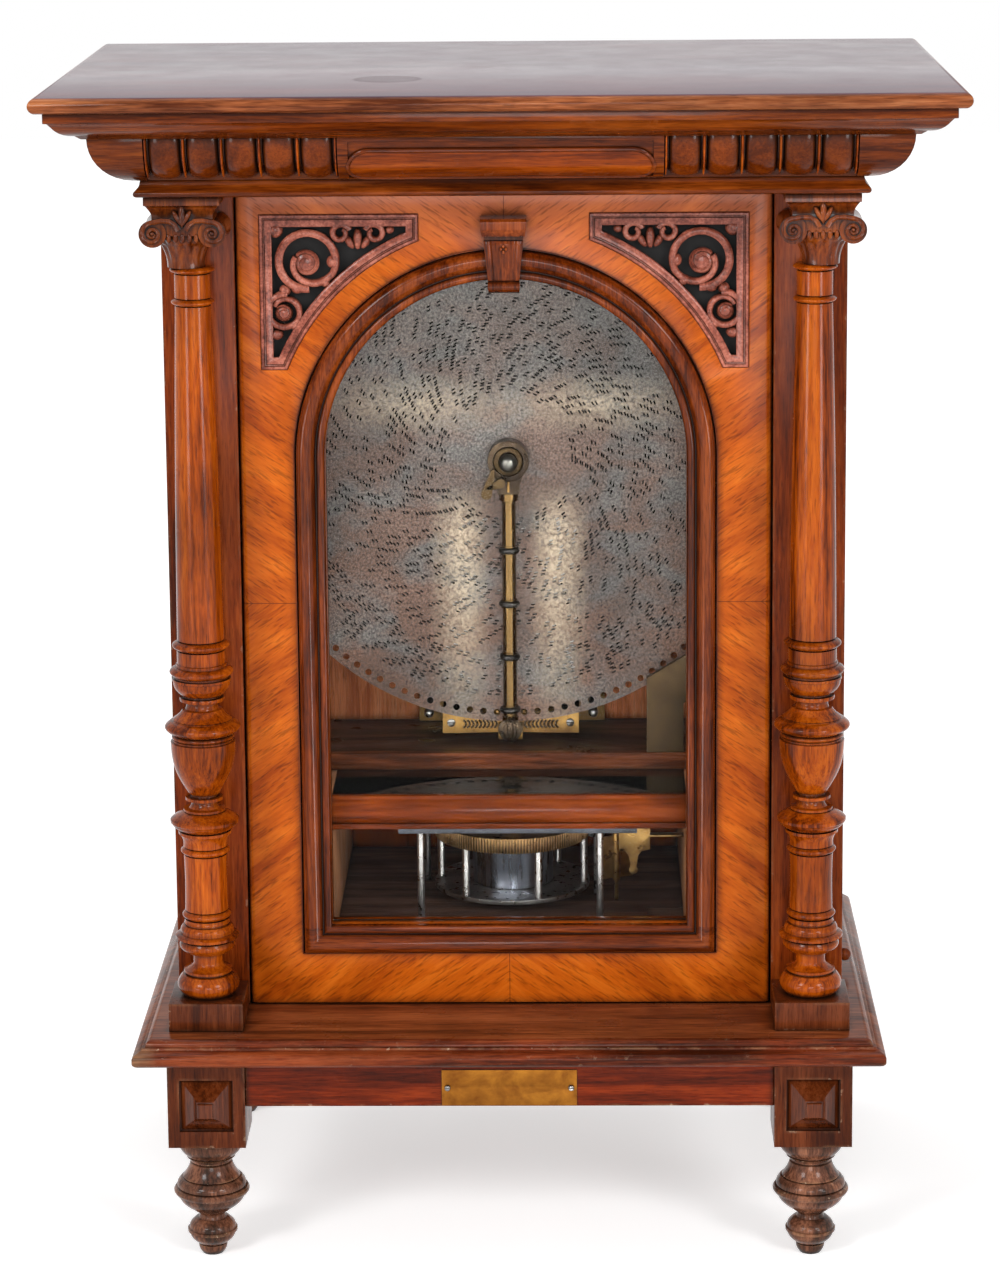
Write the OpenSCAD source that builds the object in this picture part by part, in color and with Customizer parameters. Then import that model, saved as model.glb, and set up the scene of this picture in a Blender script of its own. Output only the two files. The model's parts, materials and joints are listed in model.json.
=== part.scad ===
// Upright disc music box: a walnut cabinet on turned feet with a glazed, arched door.
// Behind the glass a steel tune disc is turned by a coin-started spring motor.
// Frame: x across, y from front to back, z up, origin on the floor under the middle.

/* [Cabinet] */
// Width over the side panels
case_w = 598; // [590:1:640]
// Depth from the door face to the back
case_d = 355; // [350:1:420]
// Thickness of the side panels
side_t = 18; // [15:0.5:20]
// Thickness of the back panel
back_t = 15; // [10:0.5:20]
// Width of each front stile
stile_w = 64; // [61:0.5:66]
// Height from the base board to the soffit
front_h = 743.5; // [735:0.5:800]

/* [Feet and base] */
// Height of a turned foot
foot_h = 111; // [90:1:130]
// Radius of the foot's large bulb
foot_r = 34; // [30:0.5:34.5]
// Radius of the foot's flat tip
foot_tip_r = 9.7; // [8:0.1:12]
// Width of a square foot block
block_w = 69; // [64:1:76]
// Height of a foot block
block_h = 86; // [75:1:100]
// Foot block face beyond the case side
block_side = 5; // [2:0.5:8]
// Foot block face ahead of the door face
block_front = 75; // [70:1:82]
// Width of the pyramid boss on a foot block
boss_w = 48; // [40:1:54]
// Depth of the recess round the boss
boss_in = 4; // [2:0.5:6]
// How far the boss stands out of its recess
boss_out = 18; // [12:0.5:22]
// Thickness of the base board
base_t = 22.5; // [18:0.5:28]
// Base board edge beyond the case side
base_side = 32; // [25:1:40]
// Base board edge ahead of the door face
base_front = 110; // [100:1:125]
// Width of the worked edge of the base board
base_edge = 19; // [14:1:22]
// Height of the aprons
apron_h = 49; // [35:1:65]
// Thickness of the aprons
apron_t = 20; // [15:1:25]
// Apron face behind the foot block face
apron_set = 5; // [2:0.5:10]
// Width of the brass plate on the apron
plate_w = 120; // [90:1:140]
// Height of the brass plate
plate_h = 33; // [25:1:40]
// Thickness of the brass plate
plate_t = 1.2; // [0.8:0.1:2]

/* [Head] */
// Head face ahead of the door face
head_out = 70; // [60:1:80]
// Thickness of the soffit
soffit_t = 15; // [12:0.5:20]
// Thickness of the head boards
head_t = 18; // [14:0.5:20]
// Bed moulding beyond the head face
bed_out = 14; // [10:0.5:18]
// Radius of the round frieze
frieze_r = 40; // [34:1:46]
// Foot of the frieze beyond the head face
frieze_in = 8; // [6:0.5:9]
// Height of the cornice moulding
cornice_h = 24.5; // [20:0.5:30]
// Cornice fillet beyond the head face
cornice_out = 80; // [72:1:84]
// Thickness of the top board
top_t = 13.5; // [11:0.5:18]
// Top board beyond the head face
top_out = 91; // [88:1:100]
// Top board beyond the back panel
back_lip = 10; // [5:1:15]
// Gadroons in each carved group
gadroon_n = 5; // [3:1:5]
// Spacing of the gadroons
gadroon_pitch = 32; // [30:0.5:32.5]
// Width of a gadroon at its bed
gadroon_w = 26; // [22:0.5:26.5]
// Height of a gadroon above its bed
gadroon_h = 7; // [5:0.5:8]
// Width of the bar between gadroons
gadroon_bar = 3; // [2:0.5:3]
// Width of the sunk panel in the middle of the frieze
cartouche_w = 256; // [220:2:258]
// Depth of the sunk panel
cartouche_in = 2; // [1:0.5:3]
// Gap left in a mitre
mitre_gap = 0.1; // [0.05:0.05:0.3]

/* [Columns] */
// Column axis in from the case side
col_in = 31; // [30:0.5:33]
// Column axis ahead of the door face
col_out = 42; // [40:0.5:46]
// Width of the column block
col_block_w = 66; // [60:0.5:66]
// Height of the column block
col_block_h = 25.5; // [20:0.5:32]
// Radius of the vase on the column
vase_r = 33.8; // [30:0.1:34]
// Radius of the shaft at its foot
shaft_r = 20.7; // [18:0.1:22]
// Radius of the shaft at its top
shaft_top_r = 15.6; // [14:0.1:17]
// Height of the capital
capital_h = 64; // [56:1:70]
// Width of the capital's top slab
abacus_w = 65; // [60:0.5:66]
// Radius of the capital's scrolls
volute_r = 12; // [10:0.5:12.5]
// Scroll axis out from the column axis
volute_x = 25.5; // [23:0.5:26]

/* [Door] */
// Thickness of the door and the stiles
door_t = 22; // [20:0.5:25]
// Gap round the door
door_gap = 0.6; // [0.5:0.1:1]
// Radius of the door's upright edges, centred on its pivots
door_edge_r = 6; // [5:0.5:8]
// Radius of the pivot pins
pivot_r = 2.5; // [2:0.1:3]
// Depth of a pivot in the door
pivot_in = 14; // [10:1:20]
// Width of the window
window_w = 318; // [300:1:330]
// Window sill above the base board
window_sill = 75.5; // [65:0.5:90]
// Centre of the window arch above the base board
arch_up = 502.2; // [490:0.1:510]
// Width of the moulding round the window
frame_w = 27.4; // [22:0.1:30]
// Height of the moulding off the door face
frame_out = 13; // [9:0.5:14]
// Depth of the window glass behind the door face
glass_in = 10; // [8:0.5:12]
// Thickness of the glass
glass_t = 3; // [2:0.1:4]
// Width of the rebate that holds the glass
rebate_w = 6; // [4:0.5:8]
// Spandrel edge in from the door edge
spandrel_in = 21; // [18:0.5:26]
// Spandrel edge down from the door top
spandrel_down = 24; // [18:0.5:30]
// Height of a spandrel
spandrel_h = 137; // [120:1:140]
// Width of a spandrel
spandrel_w = 139; // [125:1:142]
// Gap between window moulding and spandrel
spandrel_gap = 20; // [16:0.5:24]
// Width of the border of a spandrel
spandrel_rim = 11; // [8:0.5:13]
// Thickness of a spandrel
spandrel_t = 10; // [8:0.5:11]
// Spandrel face ahead of the door face
spandrel_out = 1.5; // [0.5:0.5:2]
// Thickness of the sound cloth
cloth_t = 1.2; // [0.8:0.1:2]
// Height of the keystone
keystone_h = 66; // [55:1:75]
// Width of the keystone's cap
keystone_w = 40; // [34:1:44]
// Width of the keystone's lower end
keystone_foot_w = 27.5; // [22:0.5:32]
// Keystone cap ahead of the door face
keystone_out = 26; // [20:0.5:27]

/* [Inside] */
// Front of the movement board behind the door face
board_back = 240; // [240:1:250]
// Thickness of the movement board
board_t = 18; // [12:1:20]
// Top of the motor floor above the base board
floor_up = 45.5; // [44:0.5:48]
// Thickness of the motor floor
floor_t = 13; // [10:0.5:13]
// Top of the shelf above the base board
shelf_up = 201.5; // [200:0.5:203]
// Thickness of the shelf
shelf_t = 16; // [12:0.5:17]
// Front edge of the shelf behind the door face
shelf_back = 118; // [112:1:118]
// Half the width between the inner cheeks
cheek_x = 160; // [160:1:200]
// Thickness of an inner cheek
cheek_t = 12; // [9:0.5:18]
// Gap between the door and what stands behind it
door_room = 3; // [2:0.5:5]
// Depth of the front rail
rail_d = 22; // [18:1:26]
// Height of the front rail
rail_h = 30; // [26:1:36]
// How far the cover glass reaches under the shelf
cover_lap = 8; // [4:1:12]

/* [Disc and arm] */
// Diameter of the tune disc
disc_d = 500; // [490:1:510]
// Thickness of the tune disc
disc_t = 1; // [0.8:0.1:1.2]
// Middle of the disc behind the door face
disc_back = 150; // [148:1:152]
// Disc centre above the base board
disc_up = 473.5; // [472:0.5:478]
// Drive holes round the rim
disc_holes = 120; // [120:20:120]
// Radius of a drive hole
hole_r = 3.1; // [2.9:0.1:3.4]
// Radius of the circle of drive holes
hole_circle_r = 241.5; // [240:0.5:243]
// Pins on the drive sprocket
sprocket_pins = 20; // [20:20:20]
// Radius of the centre spindle
spindle_r = 4; // [3:0.1:5]
// Radius of a pressure roller
roller_r = 9.7; // [8:0.1:10]
// Thickness of a pressure roller
roller_t = 5; // [4:0.5:6]
// Highest roller below the disc centre
roller_first = 85; // [80:1:90]
// Spacing of the rollers
roller_pitch = 50.3; // [46:0.1:51]
// Radius of the arm's tube
arm_r = 5.5; // [5:0.1:6.5]
// Radius of the ring at the arm's head
hub_r = 19; // [16:0.5:22]
// Radius of the ball on the arm's head
ball_r = 8.5; // [7:0.1:9]
// Arm pivot below the circle of drive holes
arm_below = 17.5; // [16.5:0.5:19.5]
// Radius of the arm's pivot pin
arm_pin_r = 2.5; // [2:0.1:3]

/* [Motor] */
// Teeth of the great wheel
great_teeth = 160; // [160:20:160]
// Module of the great wheel
great_module = 0.9; // [0.88:0.01:0.9]
// Thickness of the great wheel
great_t = 14; // [10:0.5:15]
// Underside of the great wheel above the motor floor
great_up = 59; // [56:0.5:62]
// Teeth of the governor pinion
pinion_teeth = 16; // [16:16:16]
// Teeth of the governor wheel
governor_teeth = 60; // [60:20:60]
// Teeth of the fly pinion
fly_teeth = 15; // [15:5:15]
// Module of the governor wheel
governor_module = 0.7; // [0.65:0.01:0.72]
// Radius of the fly
fly_r = 17; // [12:0.5:19]
// Radius of the cage flange
flange_r = 73; // [71:0.5:74]
// Pillars of the spring cage
cage_pillars = 6; // [4:1:8]
// Radius of a cage pillar
pillar_r = 3.5; // [2.5:0.1:4]
// Turns of the mainspring
spring_turns = 12; // [8:1:13]
// Thickness of the mainspring strip
spring_t = 0.9; // [0.6:0.1:1.2]
// Spacing of the mainspring turns
spring_pitch = 2.2; // [2:0.05:2.3]
// Height of the mainspring strip
spring_h = 40; // [34:0.5:41]
// Radius of the spring arbor
arbor_r = 11; // [10:0.1:12]
// Radius of the drive shaft
drive_r = 5; // [4:0.1:6]
// Teeth of the crown wheel
crown_teeth = 36; // [36:12:36]
// Teeth of the winding pinion
winding_teeth = 12; // [12:12:12]
// Module of the winding gears
winding_module = 1.5; // [1.45:0.01:1.5]
// Radius of the winding shaft
winding_r = 6; // [5:0.1:6.3]
// Winding shaft end beyond the side panel
winding_out = 11; // [8:0.5:12]
// Radius of the end that takes the crank
winding_end_r = 5; // [4:0.1:5.5]
// Thickness of the motor top plate
plate_top_t = 6; // [4:0.5:8]
// Underside of the motor top plate above the motor floor
plate_top_up = 94; // [92:0.5:96]
// Winding shaft above the base board
winding_up = 14.5; // [14:0.1:14.8]
// Ratchet tip radius
ratchet_r = 20; // [18:0.5:21]
// Pillars of the motor frame out from the middle
motor_pillar_x = 82; // [80:0.5:90]
// Radius of a motor pillar
motor_pillar_r = 3.2; // [2.5:0.1:4]

/* [Coin parts] */
// Width of the coin passage
coin_w = 31; // [30:0.5:33]
// Thickness of the coin passage
coin_gap = 4.4; // [3.5:0.1:5]
// Wall of the coin chute
chute_wall = 1.5; // [1:0.1:2]
// Left edge of the cash drawer behind the door face
drawer_back = 40; // [36:1:44]
// Depth of the cash drawer from its face
drawer_d = 185; // [175:1:200]
// Width of the cash drawer
drawer_w = 110; // [90:1:120]
// Wall of the cash drawer
drawer_wall = 5; // [3:0.5:7]

/* [Hidden] */
// Clearances
run_gap = 0.05;
air_gap = 0.3;
eps = 0.01;
$fn = 64;

// Levels
z_block = foot_h;
z_base = z_block + block_h;
z_case = z_base + base_t;
z_soffit = z_case + front_h;
z_frieze = z_soffit + soffit_t;
z_cornice = z_frieze + frieze_r;
z_top = z_cornice + cornice_h;
z_end = z_top + top_t;
z_floor = z_case + floor_up;
z_shelf = z_case + shelf_up;
z_cover = z_shelf - shelf_t;
z_disc = z_case + disc_up;
z_arch = z_case + arch_up;
z_sill = z_case + window_sill;
z_great = z_floor + great_up;
z_plate = z_floor + plate_top_up;

// Depths, with the door face as the reference
total_d = top_out + head_out + case_d + back_lip;
face_y = head_out + top_out - total_d / 2;
function behind(d) = face_y + d;
head_y = behind(-head_out);
back_y = behind(case_d);
board_y = behind(board_back);
shelf_y = behind(shelf_back);
disc_y = behind(disc_back);
inner_y = behind(door_t + door_room);

// Widths
case_x = case_w / 2;
inner_x = case_x - side_t;
door_x = case_x - stile_w - door_gap;
col_x = case_x - col_in;
col_y = behind(-col_out);
block_x = case_x + block_side - block_w / 2;
block_front_y = behind(-block_front);
window_x = window_w / 2;

// Drive: the sprocket stands upright behind the disc, one pin in each drive hole
pin_circle_r = hole_circle_r * sprocket_pins / disc_holes - 0.25;
drive_y = disc_y + pin_circle_r;
z_sprocket = z_disc - hole_circle_r + 0.1;
great_r = great_teeth * great_module / 2;
pinion_r = pinion_teeth * great_module / 2;
governor_gap = great_r + pinion_r;
governor_angle = -5;
governor_x = governor_gap * cos(governor_angle);
governor_y = drive_y + governor_gap * sin(governor_angle);
fly_gap = (governor_teeth + fly_teeth) * governor_module / 2;
fly_angle = -43;
fly_x = governor_x + fly_gap * cos(fly_angle);
fly_y = governor_y + fly_gap * sin(fly_angle);
crown_r = crown_teeth * winding_module / 2;
winding_pitch_r = winding_teeth * winding_module / 2;
z_winding = z_case + winding_up;
z_crown = z_winding + winding_pitch_r + 1.9;
arm_y = disc_y - disc_t / 2 - air_gap - roller_r;
z_arm = z_disc - hole_circle_r - arm_below;
roller_z = [for (i = [0:3]) z_disc - roller_first - i * roller_pitch];

// Colours
walnut = "#9a4a1c";
dark_walnut = "#5a2a18";
orange_walnut = "#b3571c";
gold = "#b08a3c";
brass = "#a98a48";
steel = "#8f9296";
black = "#22201f";
cloth = "#0c0b0b";
pane = "#b9c9cc60";

// Points of a curve from one radius and height to another, swelling by b in the middle
function bulge(r0, z0, r1, z1, b, n = 6) =
  [for (i = [0:n - 1]) let (t = i / n) [r0 + (r1 - r0) * t + b * sin(180 * t), z0 + (z1 - z0) * t]];

// Points of an arc
function arc(cx, cy, r, a0, a1, n = 8) =
  [for (i = [0:n]) let (a = a0 + (a1 - a0) * i / n) [cx + r * cos(a), cy + r * sin(a)]];

function polar(r, a) = [r * cos(a), r * sin(a)];

// Outline of a spur gear with straight flanks and some play
function gear_points(teeth, mod, turn = 0) =
  let (rp = teeth * mod / 2, ra = rp + 0.95 * mod, rr = rp - 1.2 * mod, step = 360 / teeth)
  [for (i = [0:teeth - 1]) let (a = turn + i * step) each
    [polar(rr, a - 0.3 * step), polar(ra, a - 0.11 * step), polar(ra, a + 0.11 * step),
     polar(rr, a + 0.3 * step)]];

// A box between two corners
module span(a, b) {
  translate(a) cube(b - a);
}

module mirrored() {
  children();
  mirror([1, 0, 0]) children();
}

// A body turned about the z axis from points that run upwards
module turned(points) {
  low = points[0][1];
  high = points[len(points) - 1][1];
  rotate_extrude() polygon(concat([[0, low]], points, [[0, high]]));
}

// A 2D shape with x and z, given a thickness from front y0 to back y1
module upright(y0, y1) {
  translate([0, y1, 0]) rotate([90, 0, 0]) linear_extrude(y1 - y0) children();
}

// A rod along x
module rod_x(x0, x1, r) {
  translate([x0, 0, 0]) rotate([0, 90, 0]) cylinder(r = r, h = x1 - x0);
}

// A rod along y
module rod_y(y0, y1, r) {
  translate([0, y1, 0]) rotate([90, 0, 0]) cylinder(r = r, h = y1 - y0);
}

// A moulding of a 2D section, outwards and up, along the front and both sides with mitred corners
module mitred_run(hw, yf, yb, reach) {
  far = hw + reach;
  intersection() {
    translate([-far, yf, 0]) rotate([90, 0, 90]) linear_extrude(2 * far) mirror([1, 0]) children();
    linear_extrude(z_end + 1)
      polygon([[mitre_gap - hw, yf], [hw - mitre_gap, yf],
               [far - mitre_gap, yf - reach], [mitre_gap - far, yf - reach]]);
  }
  mirrored() intersection() {
    translate([hw, yb, 0]) rotate([90, 0, 0]) linear_extrude(yb - yf + reach) children();
    linear_extrude(z_end + 1)
      polygon([[hw, yb], [hw, yf + mitre_gap], [far, yf - reach + mitre_gap], [far, yb]]);
  }
}

// A board whose edge, points from below upwards with 0 outermost, is worked in front and at both sides
module worked_board(half_w, y0, y1, edge) {
  last = len(edge) - 1;
  right = [for (p = edge) [half_w + p[0], p[1]]];
  left = [for (i = [last:-1:0]) [-half_w - edge[i][0], edge[i][1]]];
  front = [for (i = [last:-1:0]) [y0 - edge[i][0], edge[i][1]]];
  intersection() {
    translate([0, y1, 0]) rotate([90, 0, 0]) linear_extrude(y1 - y0) polygon(concat(right, left));
    translate([-half_w, 0, 0]) rotate([90, 0, 90]) linear_extrude(2 * half_w)
      polygon(concat([[y1, edge[0][1]], [y1, edge[last][1]]], front));
  }
}

// Cabinet

module side_board(side) {
  span([min(side * inner_x, side * case_x), behind(door_t), z_case],
       [max(side * inner_x, side * case_x), back_y - back_t, z_top]);
}

module left_side_panel() {
  color(dark_walnut) side_board(-1);
}

module drawer_opening() {
  span([inner_x - 1, drawer_y0 - air_gap, z_case - 1],
       [case_x + 1, drawer_y0 + drawer_w + air_gap, z_drawer + drawer_h + air_gap]);
}

module right_side_panel() {
  color(dark_walnut) difference() {
    side_board(1);
    drawer_opening();
    translate([0, drive_y, z_winding]) rod_x(inner_x - 1, case_x + 1, winding_r + run_gap);
    upright(chute_y - chute_half, chute_y + chute_half) chute_path(0);
  }
}

module back_panel() {
  color(dark_walnut) span([-case_x, back_y - back_t, z_case], [case_x, back_y, z_top]);
}

module front_stiles() {
  color(dark_walnut) mirrored()
    span([case_x - stile_w, face_y, z_case], [case_x, behind(door_t), z_soffit]);
}

// Worked edge of the base board: a large round nose, a groove and a small round on top
base_nose_r = 6.5;
base_round_r = 6;
function base_edge_points() = concat(
  arc(0.5 - base_nose_r, base_nose_r, base_nose_r, -90, 70, 8),
  [[-8, 2 * base_nose_r + 1.5], [-8, base_t - base_round_r]],
  arc(2 - base_edge, base_t - base_round_r, base_round_r, 0, 90, 6));

module base_board() {
  color(dark_walnut) translate([0, 0, z_base])
    worked_board(case_x + base_side, behind(-base_front), back_y, base_edge_points());
}

block_back_y = back_y - block_w;
apron_in_x = block_x - block_w / 2;

module aprons() {
  z0 = z_base - apron_h;
  front = block_front_y + apron_set;
  side = block_x + block_w / 2 - apron_set;
  color(dark_walnut) {
    span([-apron_in_x, front, z0], [apron_in_x, front + apron_t, z_base]);
    mirrored() span([side - apron_t, block_front_y + block_w, z0], [side, block_back_y, z_base]);
    span([-apron_in_x, back_y - apron_set - apron_t, z0], [apron_in_x, back_y - apron_set, z_base]);
  }
}

// A sunk square with a pyramid in it, cut into and standing out of a face that looks along -y
module boss_recess() {
  span([-boss_w / 2, -1, -boss_w / 2], [boss_w / 2, boss_in, boss_w / 2]);
}

module boss_pyramid() {
  translate([0, boss_in, 0]) rotate([90, 0, 0]) {
    linear_extrude(boss_out * 0.55, scale = 0.42) square(boss_w - 4, center = true);
    translate([0, 0, boss_out * 0.55 - eps])
      linear_extrude(boss_out * 0.45, scale = 0.55) square((boss_w - 4) * 0.42, center = true);
  }
}

// The front blocks have a boss on their front face, and the back blocks are plain
module foot_block(y0, front_boss) {
  boss_z = z_block + block_h / 2 - 4;
  difference() {
    span([block_x - block_w / 2, y0, z_block], [block_x + block_w / 2, y0 + block_w, z_base]);
    if (front_boss) translate([block_x, y0, boss_z]) boss_recess();
  }
  if (front_boss) translate([block_x, y0, boss_z]) boss_pyramid();
}

module foot_blocks() {
  color(dark_walnut) mirrored() {
    foot_block(block_front_y, true);
    foot_block(block_back_y, false);
  }
}

// Turned profile of a foot, drawn at this height and stretched to the real one
foot_drawn_h = 111;
function foot_profile() = [for (p = concat(
  bulge(foot_tip_r, 0, 13, 9, 1),
  bulge(17, 10, 15, 33, 6.5),
  bulge(12, 35, 15, 41, -1.5, 4),
  bulge(22, 46, 30, 56, 1, 4),
  bulge(foot_r - 1.5, 60, foot_r - 1.5, 72, 1.5, 6),
  bulge(28, 74, 19, 86, 1, 4),
  bulge(19, 88, 22, 92, -1, 3),
  bulge(23, 94, 29, 107, 2, 5),
  [[30, 108], [30, foot_drawn_h]])) [p[0], p[1] * foot_h / foot_drawn_h]];

module turned_feet() {
  color(dark_walnut) mirrored()
    for (y = [block_front_y + block_w / 2, back_y - block_w / 2])
      translate([block_x, y, 0]) turned(foot_profile());
}

plate_y = block_front_y + apron_set - plate_t;
plate_z0 = z_base - apron_h + 1;
plate_screw_x = plate_w / 2 - 5;

module apron_plate() {
  color(brass) difference() {
    span([-plate_w / 2, plate_y, plate_z0], [plate_w / 2, plate_y + plate_t, plate_z0 + plate_h]);
    mirrored() translate([plate_screw_x, 0, plate_z0 + plate_h / 2])
      rod_y(plate_y - 1, plate_y + plate_t + 1, 1.6);
  }
}

// Head

module head_frame() {
  color(walnut) {
    span([-case_x, head_y, z_soffit], [case_x, behind(door_t), z_frieze]);
    span([-case_x, head_y, z_frieze + mitre_gap], [case_x, head_y + head_t, z_top]);
    mirrored() span([case_x - head_t, head_y + head_t + mitre_gap, z_frieze + mitre_gap],
                    [case_x, behind(door_t), z_top]);
  }
}

module bed_moulding() {
  color(dark_walnut) mitred_run(case_x, head_y, back_y, bed_out)
    translate([0, z_soffit]) polygon(concat(
      [[0, 0], [bed_out - 7, 0]],
      arc(bed_out - 3, 3.6, 3, -110, 60, 5),
      arc(bed_out + 1, 13, 6.5, 230, 180, 4),
      [[frieze_in, soffit_t], [0, soffit_t]]));
}

module frieze_ring(x0, x1, r0, r1) {
  translate([0, head_y - frieze_in, z_cornice]) rotate([0, 90, 0]) rotate([0, 0, -90])
    rotate_extrude(angle = 90) translate([r0, x0]) square([r1 - r0, x1 - x0]);
}

gadroon_x0 = case_x + 1 - gadroon_n * gadroon_pitch - gadroon_bar;
gadroon_x1 = case_x + 1;
bed_r = frieze_r - gadroon_h;
bed_gap = 0.05;

module frieze() {
  color(walnut) difference() {
    mitred_run(case_x, head_y, back_y, frieze_in + frieze_r)
      polygon(concat([[0, z_frieze]], arc(frieze_in, z_cornice, frieze_r, -90, 0, 10),
                     [[0, z_cornice]]));
    mirrored() frieze_ring(gadroon_x0, gadroon_x1, bed_r, frieze_r + 1);
    intersection() {
      frieze_ring(-cartouche_w / 2, cartouche_w / 2, frieze_r - cartouche_in, frieze_r + 1);
      span([-case_x, head_y - frieze_in - frieze_r - 1, z_frieze + 3],
           [case_x, head_y - frieze_in - 12, z_cornice - 4]);
    }
  }
}

// One gadroon: a barrel that follows the round of the frieze
module gadroon() {
  chord = gadroon_w / 2;
  r = (chord * chord + gadroon_h * gadroon_h) / (2 * gadroon_h);
  translate([0, head_y - frieze_in, z_cornice]) rotate([0, 90, 0]) rotate([0, 0, -87])
    rotate_extrude(angle = 82) intersection() {
      translate([frieze_r - r, 0]) circle(r);
      translate([bed_r + bed_gap, -chord]) square([gadroon_h + 1, gadroon_w]);
    }
}

module gadroon_divider() {
  translate([0, head_y - frieze_in, z_cornice]) rotate([0, 90, 0]) rotate([0, 0, -89])
    rotate_extrude(angle = 86) translate([bed_r + bed_gap, -gadroon_bar / 2])
      square([gadroon_h - 1, gadroon_bar]);
}

module gadroons() {
  first = gadroon_x0 + gadroon_bar / 2;
  color(dark_walnut) mirrored() {
    for (i = [0:gadroon_n - 1])
      translate([first + (i + 0.5) * gadroon_pitch, 0, 0]) gadroon();
    for (i = [0:gadroon_n])
      translate([first + i * gadroon_pitch, 0, 0]) gadroon_divider();
  }
}

module cornice_moulding() {
  foot = frieze_in + frieze_r + 4;
  color(walnut) mitred_run(case_x, head_y, back_y, cornice_out)
    translate([0, z_cornice]) polygon(concat(
      [[0, 0], [foot, 0], [foot + 5, 3.5]],
      arc(foot + 5, 3.5 + cornice_out - foot - 7, cornice_out - foot - 7, -85, -35, 6),
      [[cornice_out - 3, cornice_h - 9], [cornice_out, cornice_h - 8.5], [cornice_out, cornice_h],
       [0, cornice_h]]));
}

function top_edge_points() = arc(-top_t / 2, top_t / 2, top_t / 2, -90, 90, 10);

module top_board() {
  color(walnut) translate([0, 0, z_top])
    worked_board(case_x + top_out, head_y - top_out, back_y + back_lip, top_edge_points());
}

// Columns

col_z0 = z_case + col_block_h;
col_z1 = z_soffit - capital_h;

// Heights above the block for the turned foot of the column, then the plain shaft
function column_profile() = concat(
  bulge(25, 0, 24, 10, 3.6),
  bulge(21, 11, 15, 19, 1, 4),
  bulge(13, 21, 13, 31, -0.4, 3),
  bulge(20, 34, 24, 52, 5.5, 7),
  bulge(23, 54, 20, 62, 0.6, 3),
  bulge(20, 64, 20, 70, 1.6, 4),
  [[19.1, 71], [19.1, 122]],
  bulge(20, 123, 20, 129, 1.4, 4),
  bulge(20, 131, 25, 143, -1.6, 4),
  bulge(27, 145, 27, 155, 3.4, 6),
  bulge(25, 157, 14, 169, -0.8, 4),
  bulge(11, 172, 11, 176, -0.3, 2),
  bulge(16, 178, 16, 183, 1.2, 4),
  bulge(16.5, 185, vase_r - 4, 234, 4, 8),
  bulge(vase_r - 4, 236, vase_r - 5, 250, 4.3, 7),
  bulge(24, 252, 15, 260, -0.6, 4),
  bulge(13.2, 262, 13.2, 268, -0.3, 2),
  bulge(19, 270, 25, 282, 1.6, 4),
  bulge(26, 284, 25, 296, 3, 6),
  bulge(22, 298, 21, 303, -0.5, 3),
  [[21, 304], [21, 314]],
  bulge(22, 315, 22, 323, 3.2, 6),
  bulge(shaft_r, 325, shaft_top_r, col_z1 - col_z0 - 34, 0.8, 8),
  bulge(shaft_top_r + 0.5, col_z1 - col_z0 - 33, shaft_top_r + 0.5, col_z1 - col_z0 - 28, 2.6, 5),
  [[shaft_top_r, col_z1 - col_z0 - 27], [shaft_top_r, col_z1 - col_z0 - 6]],
  bulge(shaft_top_r + 0.5, col_z1 - col_z0 - 5, shaft_top_r + 0.5, col_z1 - col_z0, 3.3, 5),
  [[shaft_top_r + 0.4, col_z1 - col_z0]]);

module columns() {
  color(walnut) mirrored() translate([col_x, col_y, col_z0]) turned(column_profile());
}

module column_blocks() {
  color(dark_walnut) mirrored() translate([col_x, col_y, z_case])
    span([-col_block_w / 2, -col_block_w / 2, 0], [col_block_w / 2, col_block_w / 2, col_block_h]);
}

// Leaf bell, a pair of scrolls whose ends face the front, and a square slab
module capital() {
  z_volute = capital_h - 32;
  depth = abacus_w / 2 - 2;
  slab = 8;
  turned(concat(
    bulge(shaft_top_r + 0.4, 0, 21, 20, -1.5, 5),
    bulge(23, 22, 26, 30, 1, 4),
    [[22, z_volute + 4], [22, capital_h - 18]]));
  mirrored() translate([volute_x, 0, z_volute]) rod_y(-depth, depth, volute_r);
  span([-volute_x, -depth + 3, z_volute - 2], [volute_x, depth - 3, z_volute + volute_r]);
  span([-abacus_w / 2 + 5, -abacus_w / 2 + 5, z_volute + volute_r - 1],
       [abacus_w / 2 - 5, abacus_w / 2 - 5, capital_h - slab]);
  span([-abacus_w / 2, -abacus_w / 2, capital_h - slab], [abacus_w / 2, abacus_w / 2, capital_h]);
}

module capitals() {
  color(walnut) mirrored() translate([col_x, col_y, col_z1]) capital();
}

// Inside of the cabinet

module movement_board() {
  color(walnut) span([-inner_x, board_y, z_shelf], [inner_x, board_y + board_t, z_soffit]);
}

module shelf() {
  color(black) difference() {
    span([-inner_x, shelf_y, z_cover], [inner_x, board_y + board_t, z_shelf]);
    translate([0, drive_y, z_cover - 1]) cylinder(r = drive_r + 3, h = shelf_t + 2);
    span([chute_x0 - air_gap, chute_y - chute_half - air_gap, z_cover - 1],
         [chute_x1 + air_gap, chute_y + chute_half + air_gap, z_shelf + 1]);
  }
}

module inner_cheeks() {
  color(walnut) mirrored()
    span([cheek_x, inner_y, z_floor], [cheek_x + cheek_t, back_y - back_t, z_cover]);
}

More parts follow.
